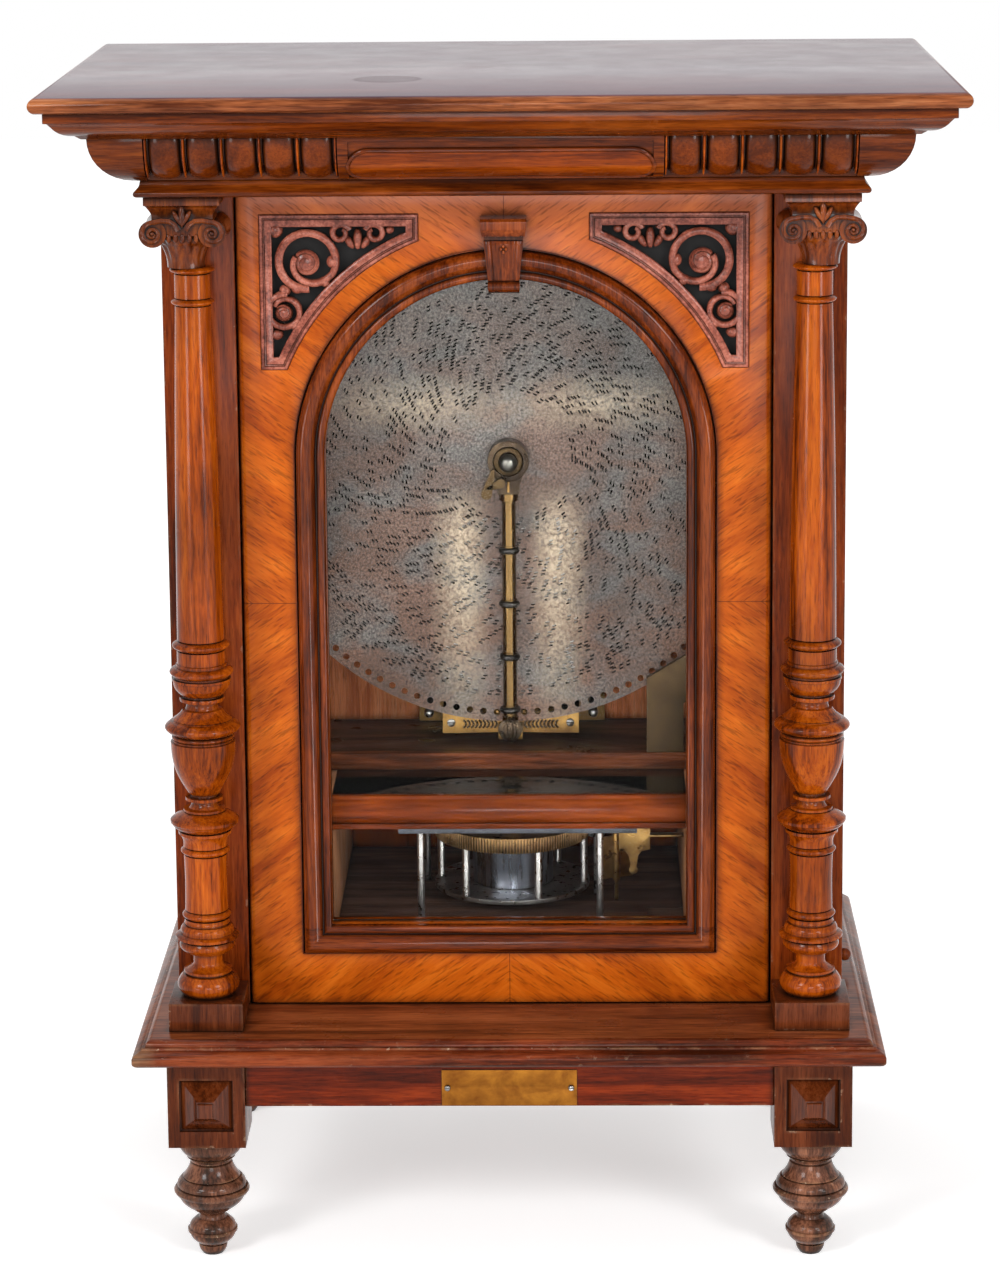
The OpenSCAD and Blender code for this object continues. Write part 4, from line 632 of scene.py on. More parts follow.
def rusty_disc(name):
    """Thin steel sheet with rings of fine scratches, a brown film, and painted highlights: bright streaks
    beside the arm below the hub and a band just above it.
    """
    own = Finish(name)
    plain = own.place()
    centre = (0.0, DISC.y * MM, DISC.z * MM)
    offset = own.add("VectorMath", {0: plain, 1: centre}, operation="SUBTRACT")
    far = own.add("VectorMath", {0: offset}, "Value", operation="LENGTH")
    across = own.calc("DIVIDE", own.calc("ABSOLUTE", own.part(offset, "X")), DISC_RADIUS * MM)
    upright = own.add("MapRange", {"Value": own.part(offset, "Z"), "From Min": -DISC_RADIUS * MM,
                                   "From Max": DISC_RADIUS * MM})
    rings = own.noise(own.add("CombineXYZ", {"X": far}), 900, 3, 0.7)
    clouds = own.noise(own.place((1, 1, 1.5)), 14, 4, 0.6, 0.5)
    specks = own.noise(plain, 420, 4, 0.7)
    salt = own.ramp(own.noise(plain, 300, 5, 0.75), (0.40, 0.15), (0.60, 1.0))
    # Painted highlights where lamps reflect: streaks either side of the arm below the hub, and a band just
    # above the hub
    streaks = own.times(own.ramp(across, (0.07, 0.0), (0.16, 1.0), (0.19, 1.0), (0.30, 0.0)),
                        own.ramp(upright, (0.03, 0.2), (0.20, 0.75), (0.36, 1.0), (0.45, 0.0)))
    band = own.times(own.ramp(across, (0.06, 0.2), (0.3, 0.8), (0.7, 0.0)),
                     own.ramp(upright, (0.54, 0.0), (0.60, 1.0), (0.66, 0.0)))
    browned = own.times(own.ramp(clouds, (0.38, 0.15), (0.56, 1.0)),
                        own.ramp(upright, (0.10, 1.0), (0.50, 0.75), (0.80, 0.35)))
    colour = own.blend(browned, own.ramp(specks, *zip((0.36, 0.50, 0.64), STEEL_FILM)),
                       own.ramp(specks, *zip((0.36, 0.64), BROWN_FILM)))
    patches = own.ramp(own.noise(plain, 8, 3), (0.34, 0.66), (0.66, 1.2))
    colour = own.blend(1.0, colour, patches, "MULTIPLY")
    colour = own.blend(0.3, colour, own.ramp(rings, (0.3, 0.6), (0.7, 1.0)), "MULTIPLY")
    bright = own.times(own.calc("MAXIMUM", streaks, band), salt)
    return own.surface({
        "Base Color": own.blend(bright, colour, HIGHLIGHT_STEEL), "Metallic": 0.3,
        "Roughness": own.ramp(specks, (0.36, 0.58), (0.64, 0.40)), "Normal": own.relief(specks, 0.05, 0.1)})


PANE_CLEAR = (0.97, 0.975, 0.97)
PANE_DUST = 0.97


def pane(name, tint, bend, lean=0.0):
    """Clear glass that lets light and shadow rays straight through, and can mirror as if it leant forward."""
    own = Finish(name)
    dust = own.ramp(own.noise(own.place(), 90, 4), (0.4, tint), (0.8, tuple(PANE_DUST * c for c in tint)))
    glass = own.make("ShaderNodeBsdfPrincipled", {
        "Base Color": dust, "Transmission Weight": 1.0, "IOR": bend, "Roughness": 0.0})
    if lean:
        upward = Vector((0, -math.sin(math.radians(lean)), math.cos(math.radians(lean))))
        inside = own.add("NewGeometry", output="Backfacing")
        sign = own.calc("SUBTRACT", 1.0, own.times(inside, 2.0))
        facing = own.add("VectorMath", {0: upward, "Scale": sign}, operation="SCALE")
        own.plug(glass.inputs["Normal"], facing)
    clear = own.add("BsdfTransparent", {"Color": (*PANE_CLEAR, 1)})
    path = own.make("ShaderNodeLightPath").outputs
    through = own.calc("MAXIMUM", path["Is Shadow Ray"], path["Is Diffuse Ray"])
    either = own.add("MixShader", {0: through, 1: glass.outputs[0], 2: clear})
    own.make("ShaderNodeOutputMaterial", {"Surface": either})
    return own.material


def cloth(name):
    """Black open weave."""
    own = Finish(name)
    plain = own.place()
    weave, weft = (own.add("TexWave", {"Vector": plain, "Scale": 420.0}, "Fac", bands_direction=axis)
                   for axis in "XZ")
    threads = own.times(weave, weft)
    colour = own.ramp(threads, (0.0, (0.001, 0.001, 0.001)), (1.0, (0.007, 0.006, 0.006)))
    return own.surface({"Base Color": colour, "Roughness": 0.9, "Normal": own.relief(threads, 0.4, 0.3)})


brass = metal("aged_brass_worn", (0.40, 0.24, 0.080), (0.17, 0.090, 0.030))
wheel_brass = metal("wheel_brass_rubbed", (0.62, 0.38, 0.17), (0.32, 0.18, 0.075))
plate_brass = metal("plate_brass_stained", (0.33, 0.130, 0.018), (0.17, 0.056, 0.010), (0.32, 0.5), 34)
ball_steel = metal("ball_steel_dull", (0.17, 0.165, 0.145), (0.11, 0.105, 0.095), (0.28, 0.40), bump=0.0)
ring_brass = metal("ring_brass_dull", (0.085, 0.055, 0.026), (0.040, 0.025, 0.013), (0.35, 0.55))
chute_brass = metal("chute_brass_dull", (0.080, 0.052, 0.026), (0.050, 0.031, 0.016), (0.5, 0.7))
arm_brass = metal("arm_brass_worn", (0.22, 0.135, 0.050), (0.13, 0.075, 0.030), (0.18, 0.30), reach=3,
                  stretch=(1, 1, 0.08), bump=0.0)
bronze = metal("bronze_dark", (0.070, 0.048, 0.030), (0.026, 0.018, 0.013), scale=45)
gold = metal("gold_paint_worn", (0.44, 0.25, 0.066), (0.20, 0.105, 0.030), (0.34, 0.55), metallic=0.7,
             reach=3)
bed_gold = metal("bed_gold_worn", (0.36, 0.205, 0.058), (0.16, 0.085, 0.026), (0.34, 0.55), metallic=0.7,
                 reach=3, disc_shadow=BOARD_DISC_SHADOW)
steel = metal("bright_steel_worn", (0.42, 0.41, 0.40), (0.30, 0.29, 0.275), (0.24, 0.38), bump=0.0)
dark_steel = metal("dark_steel_plate", (0.10, 0.105, 0.115), (0.05, 0.05, 0.055), (0.3, 0.5))
blue_steel = metal("blue_steel_strip", (0.24, 0.26, 0.31), (0.18, 0.195, 0.235), (0.24, 0.34),
                   stretch=(1, 1, 0.1), bump=0.0)
black_steel = metal("black_steel_satin", (0.06, 0.055, 0.05), (0.02, 0.018, 0.017), (0.25, 0.5))
disc_steel = rusty_disc("disc_steel_rusty")
clear_glass = pane("clear_glass_pane", (0.98, 0.985, 0.98), 1.1)
# The cover pane's dark grey tint, seen only by camera and mirror rays, is painted shade for the dim bay
# beneath it; light passes it clear
cover_shade_glass = pane("cover_glass_pane", (0.40, 0.41, 0.41), 2.1, lean=9.5)
black_cloth = cloth("black_cloth_weave")


# Turned columns and feet

COLUMN_FOOT = low("columns").z
COLUMN_X = high("columns").x - span("columns").y / 2
SHAFT_TOP_R = 15.6


def column_profile(length):
    """Radii and heights of a column: beads and coves parted by narrow grooves."""
    base = [*swell(23, 0.5, 23, 19, 4.5, 14), (20, 19.8), (20, 21), (21.5, 21.3), (21.5, 23.3),
            *swell(18.6, 23.8, 13, 31, -2.0), (12.9, 38), (12.2, 38.6), *swell(19.4, 39.4, 23.6, 50, 3.2),
            (22.4, 50.5), (22.4, 51.4), (26.6, 51.9), (28.2, 53), (28.2, 55), (26.4, 56.4), (24, 57),
            (24, 58), *swell(23.6, 58.5, 21.4, 64.4, 0.9), (19.6, 64.9), (19.6, 66),
            *swell(20.4, 66.4, 20, 70, -0.3), (18.4, 70.4), *swell(19.4, 71, 19.4, 77, 2.3), (18.2, 77.6)]
    drum = [*swell(19.2, 78.4, 19.2, 129, -0.5), (18.2, 129.5), *swell(19.4, 130.1, 19.4, 135.6, 2.4),
            (18.4, 136.2), *swell(19.4, 136.8, 22.4, 148, -1.2), (23.4, 148.4), (23.4, 151), (21.8, 151.5)]
    saucer = [*swell(22.6, 152, 29.4, 158.4, 1.3), (30.4, 159.2), (30.4, 161.6),
              *swell(29.2, 162.8, 19.4, 168.4, 0.7), (17.2, 168.8), (18.6, 169.2), (18.6, 171.2),
              *swell(13.6, 171.8, 11.4, 178.6, -0.9), (16.6, 179.2), (16.6, 181.8), (12, 182.4), (12, 184)]
    vase = [*swell(13.4, 184.6, 28.6, 232.4, 4.4, 20), (26.8, 233), (26.8, 234.2),
            *swell(26.2, 234.7, 26.2, 239, 1.4), (25, 239.6), *swell(28.2, 240.2, 28.6, 251, 5, 14),
            (26.4, 251.5), (25.6, 252.3), *swell(26, 252.8, 17.6, 261.4, -1.0), (15.6, 261.8),
            *swell(14.8, 262.2, 14.2, 268.6, -0.5), (19.4, 269.2), (19.8, 270.8), (19.4, 272.4),
            (16.6, 272.9), (16.6, 274.1)]
    bowl = [*swell(18.4, 274.6, 25, 287, 2), (25.8, 287.5), (25.8, 289.5), (23.8, 290), (23.8, 291.4),
            *swell(25, 291.9, 25, 299.5, 3.2), (22.4, 300), (22.4, 302.6), (21.2, 303.2), (21.2, 314.6),
            (19.8, 315.2), *swell(21.6, 315.8, 21.6, 323, 3.6), (19.6, 323.6)]
    ring, groove = SHAFT_TOP_R + 0.6, SHAFT_TOP_R - 0.9
    shaft = [*swell(20.7, 324.4, SHAFT_TOP_R, length - 34, 0.8, 20), (groove, length - 33.4),
             *swell(ring, length - 33, ring, length - 28, 2.6), (groove, length - 27.4),
             (SHAFT_TOP_R, length - 26.8), (SHAFT_TOP_R, length - 6.2), (groove, length - 5.6),
             *swell(ring, length - 5, ring, length, 3.3)]
    return base + drum + saucer + vase + bowl + shaft


columns = Shape()
turned(columns, column_profile(span("columns").z), COLUMN_X, middle("columns").y, COLUMN_FOOT, 96)
columns.mirrored()
carve("turned_columns", columns, "case", "carved_walnut", column_wood, ("columns",), sharp=30)

FOOT_DRAWN = 111
FOOT_STRETCH = high("turned_feet").z / FOOT_DRAWN
FOOT_PROFILE = [
    *swell(9.7, 0, 13, 9, 1), (12, 9.4), *swell(13.6, 10, 21, 20.4, 1.8), (22.4, 21), (22.4, 23.4),
    *swell(21, 24, 15, 33, 1.8), (12.6, 33.6), *swell(12, 35, 15, 41, -1.5), (17, 41.6),
    *swell(18, 42.4, 30.4, 56.6, 2.6), (32.6, 57.4), (34, 59.6), (34, 61.2), (32.6, 63.2), (30.4, 63.8),
    *swell(31, 64.6, 27.4, 72, 1.2), (25.2, 72.6), *swell(25.8, 73.2, 19, 86, -0.8), (17.8, 87),
    *swell(19, 88, 22, 92, -1), (21, 93), *swell(23, 94, 29, 107, 2), (30, 108), (30, FOOT_DRAWN)]
FOOT_ROUND = max(r for r, z in FOOT_PROFILE)
feet = Shape()
for foot_y in (low("turned_feet").y + FOOT_ROUND, high("turned_feet").y - FOOT_ROUND):
    turned(feet, [(r, z * FOOT_STRETCH) for r, z in FOOT_PROFILE], high("turned_feet").x - FOOT_ROUND,
           foot_y, 0)
feet.mirrored()
carve("turned_feet_finish", feet, "case", "case_walnut", foot_wood, ("turned_feet",), sharp=30)


# Bosses on the front foot blocks: a square stud on a spreading foot

BLOCK_WIDE = 69
BOSS_PROUD, BOSS_SUNK, BOSS_DROP = 14, 4, 4
BOSS_STEPS = ((23.6, -0.5), (21, 1.4), (18, 3.6), (15, 6.0), (12, 8.8), (9.6, 11.8), (7.6, 15), (6.8, 15.2),
              (6.8, 17.8), (6.2, 18.4))
bosses = Shape()
bosses.tube([[(a * half, -rise, b * half) for a, b in SQUARE] for half, rise in BOSS_STEPS])
bosses.moved(high("foot_blocks").x - BLOCK_WIDE / 2, low("foot_blocks").y + BOSS_PROUD + BOSS_SUNK,
             middle("foot_blocks").z - BOSS_DROP)
bosses.mirrored()
carve("foot_block_bosses", bosses, "case", "case_walnut", boss_wood, sharp=22)


# Capitals: a leafy bell, scrolled bands with a leaf between them, and a square slab

CAPITAL_HIGH = span("capitals").z
ABACUS = span("capitals").y / 2
VOLUTE_X, VOLUTE_R = 25.5, 12
VOLUTE_Z = CAPITAL_HIGH - 32
VOLUTE_DEEP = ABACUS - 2


def bell_leaves(angle, height):
    if height < 21:
        return 0.9 * math.cos(14 * angle) * height / 20
    return 1.6 * abs(math.cos(9 * angle)) - 0.8 if height < 31 else 0


def volute_band(side):
    """Path of a scrolled band, from the middle leaf over the roll and into its eye."""
    lead = [(3, 3), (6, 8), (11, 11.2), (18, VOLUTE_R - 0.5)]
    curl = spiral(VOLUTE_X, 0, 100, -640, lambda t: (VOLUTE_R - 1.4) * math.exp(-1.55 * t), 70)
    return [(side * x, VOLUTE_Z + z) for x, z in lead + curl]


def capital():
    own = Shape()
    bell = [*swell(16, 0, 21, 20, -1.5), *swell(23, 22, 26, 30, 1), (22, VOLUTE_Z + 4),
            (22, CAPITAL_HIGH - 18)]
    turned(own, bell, 0, 0, 0, 126, bell_leaves)
    roll = [(VOLUTE_R - 2.6 + 2.4 * abs(deep) ** 1.5, deep * (VOLUTE_DEEP - 1.5))
            for deep in (2 * t - 1 for t in shares(20))]
    for side in (-1, 1):
        turned_y(own, roll, side * VOLUTE_X, VOLUTE_Z)
        for front in (-1, 1):
            edge = front * VOLUTE_DEEP
            ribbon(own, volute_band(side), lambda t: 2.1 - 1.0 * t, edge, edge - front * 3, front * 0.9)
            egg(own, (side * VOLUTE_X, edge - front * 1.2, VOLUTE_Z), (2.6, 1.6, 2.6))
    box(own, (-VOLUTE_X, 3 - VOLUTE_DEEP, VOLUTE_Z - 2), (VOLUTE_X, VOLUTE_DEEP - 3, VOLUTE_Z + VOLUTE_R - 1))
    for front in (-1, 1):
        for tilt, size in ((0, 1), (0.5, 0.8), (-0.5, 0.8)):
            egg(own, (10 * math.sin(tilt) * size, front * (VOLUTE_DEEP - 2), VOLUTE_Z + 8 + 7 * size),
                (3.4 * size, 3.2, 10 * size), tilt)
        for i in range(5):
            egg(own, (-12 + 6 * i, front * (VOLUTE_DEEP - 5), VOLUTE_Z - 3.5), (2.7, 3, 4.6))
    cove, slab = VOLUTE_Z + VOLUTE_R - 1.5, CAPITAL_HIGH - 8
    steps = [*swell(ABACUS - 6, cove, ABACUS - 3, slab - 2, -1.6, 6), (ABACUS - 1.5, slab),
             (ABACUS, slab + 0.6), (ABACUS, CAPITAL_HIGH - 0.6), (ABACUS - 0.6, CAPITAL_HIGH)]
    own.tube([[(a * half, b * half, height) for a, b in SQUARE] for half, height in steps])
    return own


capitals = capital()
capitals.moved(high("capitals").x - ABACUS, middle("capitals").y, low("capitals").z)
capitals.mirrored()
carve("carved_capitals", capitals, "case", "carved_walnut", carved_upright, ("capitals",), sharp=50)


# Gadroons on the frieze, repeated by a rule

FRIEZE_R = span("frieze").z
FRIEZE_AXIS = (low("frieze").y + FRIEZE_R, high("frieze").z)
GADROON_COUNT, GADROON_PITCH, GADROON_BAR, GADROON_PROUD = 5, 32, 3, 7
GADROON_HALF = GADROON_PITCH / 2 - 2.2
GADROON_END = high("gadroons").x - GADROON_BAR / 2
GADROON_BED = FRIEZE_R - GADROON_PROUD + 0.2
GADROON_TURNS = (2, 89)


def frieze_arc(radius, turn):
    """A point of the quarter round under the cornice."""
    angle = math.radians(turn)
    return FRIEZE_AXIS[0] - radius * math.sin(angle), FRIEZE_AXIS[1] - radius * math.cos(angle)


def gadroon(half, proud, steps):
    """One straight-sided barrel that follows the quarter round, rounded off at its foot."""
    first, last = GADROON_TURNS
    rows = []
    for t in shares(steps):
        full = max(0, 1 - (1 - t) ** 9) ** 0.5
        row = []
        for u in (2 * share - 1 for share in shares(16)):
            lift = proud * max(0, 1 - u * u) ** 0.5 * full
            row.append((u * half, *frieze_arc(GADROON_BED + lift, first + (last - first) * t)))
        rows.append(row)
    barrel = Shape()
    barrel.grid(rows)
    return form("gadroon_form", barrel)


def repeated(name, copied, count, first, step, material):
    """A row of copies of a form along the width, and their mirror image."""
    net, given = rule(name, {"Object": ("Form",), "Int": ("Count",), "Vector": ("First", "Step"),
                             "Material": ("Finish",)})
    row = net.geo("MeshLine", {"Count": given["Count"], "Offset": given["Step"],
                               "Start Location": given["First"]}, mode="OFFSET")
    source = net.geo("ObjectInfo", {"Object": given["Form"]}, "Geometry")
    copies = net.geo("InstanceOnPoints", {"Points": row, "Instance": source})
    other = net.geo("Transform", {"Geometry": copies, "Scale": (-1, 1, 1)})
    net.end(net.join(copies, other), given["Finish"])
    holder = bpy.data.objects.new(name + "_form", copied)
    mesh = grow(name, net.tree, {"Form": holder, "Count": count, "First": Vector(first) * MM,
                                 "Step": Vector((step, 0, 0)) * MM, "Finish": material})
    bpy.data.objects.remove(holder)
    return mesh


lobes = repeated("gadroon_row", gadroon(GADROON_HALF, GADROON_PROUD - 0.4, 32), GADROON_COUNT,
                 (GADROON_END - GADROON_PITCH * (GADROON_COUNT - 0.5), 0, 0), GADROON_PITCH, barrel_wood)
show("gadroon_lobes", lobes, "case", "carved_walnut", barrel_wood, ("gadroons",))
bars = repeated("gadroon_bars", gadroon(GADROON_BAR / 2, GADROON_PROUD - 0.8, 24), GADROON_COUNT + 1,
                (GADROON_END - GADROON_PITCH * GADROON_COUNT, 0, 0), GADROON_PITCH, bar_wood)
show("gadroon_dividers", bars, "case", "carved_walnut", bar_wood, ("gadroons",))


# Cartouche on the frieze: a bead with round ends about a bare field

CARTOUCHE_HALF = 128
CARTOUCHE_TURNS = (22, 72)
CARTOUCHE_MID = sum(CARTOUCHE_TURNS) / 2
CARTOUCHE_END = math.radians(CARTOUCHE_TURNS[1] - CARTOUCHE_MID) * FRIEZE_R
BEAD_SECTION = ((-2.6, -1.4), (-2.2, 0.5), (-1.2, 1.3), (0, 1.5), (1.0, 0.9), (1.6, -0.4), (1.8, -2.2))
FIELD_PROUD, FIELD_SUNK = 0.35, 1.0
FIELD_STEPS, FIELD_SWEEP = 16, 88


def cartouche_end(radius, degrees, lift):
    """A point of the cartouche's right end: its place along the width, and on the round."""
    angle = math.radians(degrees)
    turn = CARTOUCHE_MID + math.degrees(radius / FRIEZE_R) * math.sin(angle)
    return (CARTOUCHE_HALF - CARTOUCHE_END + radius * math.cos(angle), *frieze_arc(FRIEZE_R + lift, turn))


def bead_line(inset, lift):
    right = [cartouche_end(CARTOUCHE_END - inset, -90 + 180 * t, lift) for t in shares(24)]
    return right + [(-x, y, z) for x, y, z in reversed(right)]


def field_skin(lift):
    """Rows of the bare field from its upper to its lower edge, at a height over the round."""
    edge = [cartouche_end(CARTOUCHE_END, FIELD_SWEEP * (2 * t - 1), lift) for t in shares(FIELD_STEPS)]
    return [[(x * across, y, z) for across in (-1, -0.5, 0, 0.5, 1)] for x, y, z in edge]


cartouche = Shape()
cartouche.grid([bead_line(inset, lift) for inset, lift in BEAD_SECTION], ring=True)
carve("frieze_cartouche", cartouche, "case", "carved_walnut", carved_long)
field = Shape()
field.tube([outer + inner[::-1] for outer, inner in zip(field_skin(FIELD_PROUD), field_skin(-FIELD_SUNK))])
carve("frieze_field", field, "case", "carved_walnut", field_wood)


# Window moulding, mitred at the foot and bent round the arch

WINDOW_HALF = 159
ARCH_Z = 721.7
MOULD_WIDE = high("arch_moulding").x - WINDOW_HALF
MOULD_OUT = DOOR_FACE - low("arch_moulding").y
SILL_Z = low("arch_moulding").z + MOULD_WIDE


def window_line(offset, y):
    half = WINDOW_HALF + offset
    arch = [(half * math.cos(math.pi * (1 - t)), y, ARCH_Z + half * math.sin(math.pi * (1 - t)))
            for t in shares(96)]
    return [(-half, y, SILL_Z - offset), *arch, (half, y, SILL_Z - offset)]


def bow(x, y, radius, first, last, steps):
    """Points of an arc of the moulding's section."""
    angles = [math.radians(first + (last - first) * t) for t in shares(steps)]
    return [(x + radius * math.cos(a), y + radius * math.sin(a)) for a in angles]


def moulding_section():
    wide, out = MOULD_WIDE, MOULD_OUT
    return [(0, 0), (0, out * 0.3), *bow(4, out * 0.3, 4, 180, 30, 8), (7.6, out * 0.36), (8.4, out * 0.36),
            (9.2, out * 0.62), *bow(wide - 9.5, out - 7, 7, 120, 0, 12), (wide - 2.3, out * 0.28),
            (wide - 1.5, out * 0.14), (wide - 0.8, out * 0.26), (wide, out * 0.25), (wide, 0)]


window = Shape()
window.grid([window_line(u, DOOR_FACE - v) for u, v in moulding_section()], ring=True, loop=True)
carve("window_moulding", window, "door", "carved_walnut", mould_wood, ("arch_moulding",), sharp=50)


# Keystone: a tapered console with ribs under a moulded cap

KEY_LOW, KEY_TALL = low("keystone").z, span("keystone").z
KEY_OUT = DOOR_FACE - low("keystone").y
KEY_HALF = high("keystone").x
KEY_DEPTH = ((0, 0.50), (0.02, 0.60), (0.05, 0.72), (0.09, 0.76), (0.13, 0.72), (0.16, 0.64), (0.18, 0.70),
             (0.45, 0.80), (0.66, 0.83), (0.70, 0.80), (0.71, 0.70), (0.755, 0.70), (0.765, 0.84),
             (0.80, 0.90), (0.85, 0.985), (0.86, 1.0), (0.97, 1.0), (1.0, 0.93))
KEY_WIDTH = ((0, 0.66), (0.09, 0.70), (0.16, 0.68), (0.70, 0.86), (0.71, 0.84), (0.755, 0.86), (0.765, 0.93),
             (0.86, 0.99), (1.0, 1.0))
KEY_DROPS = ((0, 2.4), (-2.2, 0), (2.2, 0), (0, -2.6))


def read_at(table, t):
    for (a, va), (b, vb) in zip(table, table[1:]):
        if t <= b:
            return va + (vb - va) * (t - a) / (b - a)
    return table[-1][1]


def keystone_lift(u, t):
    """Ribs down both sides and a swelling between them, on the console only."""
    if t > 0.70 or t < 0.17:
        return 0
    if abs(u) > 0.6:
        return 1.5 * math.sin(math.pi * (abs(u) - 0.6) / 0.4)
    return 1.2 * math.cos(math.pi * u / 1.2) - 0.6


keystone = Shape()
key_rows = []
for t in sorted({t for t, depth in KEY_DEPTH} | set(shares(40))):
    half, z = KEY_HALF * read_at(KEY_WIDTH, t), KEY_LOW + KEY_TALL * t
    face = []
    for u in (2 * share - 1 for share in shares(40)):
        out = min(KEY_OUT * read_at(KEY_DEPTH, t) + keystone_lift(u, t), KEY_OUT)
        face.append((u * half, DOOR_FACE - out, z))
    key_rows.append([(-half, DOOR_FACE, z), *face, (half, DOOR_FACE, z)])
keystone.tube(key_rows)
for dx, dz in KEY_DROPS:
    egg(keystone, (dx, DOOR_FACE - KEY_OUT * 0.83 - 0.6, KEY_LOW + KEY_TALL * 0.60 + dz), (1.5, 1.6, 1.9))
carve("carved_keystone", keystone, "door", "carved_walnut", mould_wood, ("keystone",), sharp=45)


# Spandrels: a moulded frame with scrolls cut in the round, over black cloth

SPANDREL_X, SPANDREL_Z = high("spandrels").x, high("spandrels").z
SPANDREL_LOW = low("spandrels").z
SPANDREL_FRONT, SPANDREL_BACK = low("spandrels").y, high("spandrels").y
SPANDREL_WIDE = 139
SPANDREL_ROUND = 206.4
SPANDREL_RIM = 11
SPANDREL_SECTION = ((0, 1.0), (0.9, 0), (2.8, 0), (3.6, 1.4), (4.4, 1.5), (5.2, 0.5), (9.6, 0.5),
                    (SPANDREL_RIM, 1.6))
# Each scroll's place, start and turn, radius and its late loss, half width and its loss, and drift
SCROLLS = (((-41, -41), (-95, 470), (24.5, 13, 0.64), (3.6, 0.8), (-2, 0)),
           ((-41, -43), (40, 500), (10.5, 7.5, 0), (1.6, 0.6), (0, 0)),
           ((-21.5, -85), (100, -430), (14.5, 6.5, 0.6), (3.0, 0.6), (1.5, 0)),
           ((-20.5, -87), (40, 480), (7.2, 5, 0), (1.3, 0.5), (0, 0)),
           ((-101, -17), (20, 400), (8.5, 4.5, 0), (2.9, 0.8), (0, 0)),
           ((-71, -17), (160, -400), (8.5, 4.5, 0), (2.9, 0.8), (0, 0)))
# Each lobe's place, half width, half height and tilt
LOBES = ((-41, -43, 11.5, 11.5, 0), (-33, -65, 6.2, 5.2, 0.3), (-64, -42, 5.6, 6.0, 0),
         (-57, -60, 5.5, 4.5, -0.6), (-20.5, -87, 8, 8, 0), (-30, -98, 5, 4, 0.6), (-14, -106, 6, 5, 0),
         (-22, -67, 5.2, 5.2, 0), (-86, -22, 4.2, 9.5, 0), (-93, -25, 3.4, 6.5, -0.6),
         (-79, -25, 3.4, 6.5, 0.6), (-114, -14, 4, 4, 0), (-14, -14, 7, 7, 0))


def spandrel_line(offset, y):
    left, right = SPANDREL_X - SPANDREL_WIDE + offset, SPANDREL_X - offset
    foot, top = SPANDREL_LOW + offset, SPANDREL_Z - offset
    r = SPANDREL_ROUND + offset
    first, last = math.asin((foot - ARCH_Z) / r), math.acos(left / r)
    angles = [first + (last - first) * t for t in shares(30)]
    arc = [(r * math.cos(a), y, ARCH_Z + r * math.sin(a)) for a in angles]
    return [(left, y, top), (right, y, top), (right, y, foot), *arc]


def scroll(shape, spot, sweep, radius, half, drift):
    first, loss, late = radius
    path = spiral(SPANDREL_X + spot[0], SPANDREL_Z + spot[1], *sweep,
                  lambda t: first - loss * max(0, t - late) / (1 - late), 64, drift)
    ribbon(shape, path, lambda t: half[0] - half[1] * t, SPANDREL_FRONT + 0.6, SPANDREL_BACK, 1.8)


spandrels = Shape()
frame_section = [(0, SPANDREL_BACK), *((offset, SPANDREL_FRONT + sunk) for offset, sunk in SPANDREL_SECTION),
                 (SPANDREL_RIM, SPANDREL_BACK)]
spandrels.grid([spandrel_line(offset, y) for offset, y in frame_section], ring=True, loop=True)
for scroll_facts in SCROLLS:
    scroll(spandrels, *scroll_facts)
LOBE_DEEP = (SPANDREL_BACK - SPANDREL_FRONT) / 2
for x, z, wide, tall, tilt in LOBES:
    egg(spandrels, (SPANDREL_X + x, SPANDREL_FRONT + 0.4 + LOBE_DEEP, SPANDREL_Z + z),
        (wide, LOBE_DEEP, tall), tilt)
spandrels.mirrored()
carve("carved_spandrels", spandrels, "door", "carved_walnut", fret_wood, ("spandrels",), sharp=45)

CLOTH_SAG = 0.35
CLOTH_MIDDLE_SHIFT = 8


def cloth_panel(edge, y, side):
    """Stretched cloth behind one spandrel, slightly bagged between its edges."""
    cx = sum(p[0] for p in edge) / len(edge) + CLOTH_MIDDLE_SHIFT
    cz = sum(p[2] for p in edge) / len(edge) + CLOTH_MIDDLE_SHIFT
    panel = Shape()
    panel.grid([[(side * (cx + (px - cx) * t), y + CLOTH_SAG * math.cos(math.pi * t / 2), cz + (pz - cz) * t)
                 for px, py, pz in edge] for t in shares(12)], ring=True)
    return panel


cloth_y = middle("sound_cloth").y
cloth_edge = spandrel_line(0.5, cloth_y)
for side, label in ((-1, "left"), (1, "right")):
    panel = cloth_panel(cloth_edge, cloth_y, side)
    piece = carve("sound_cloth_" + label, panel, "door", "black_cloth", black_cloth, ("sound_cloth",))


# Tune disc: note slits and rim holes cut by a rule

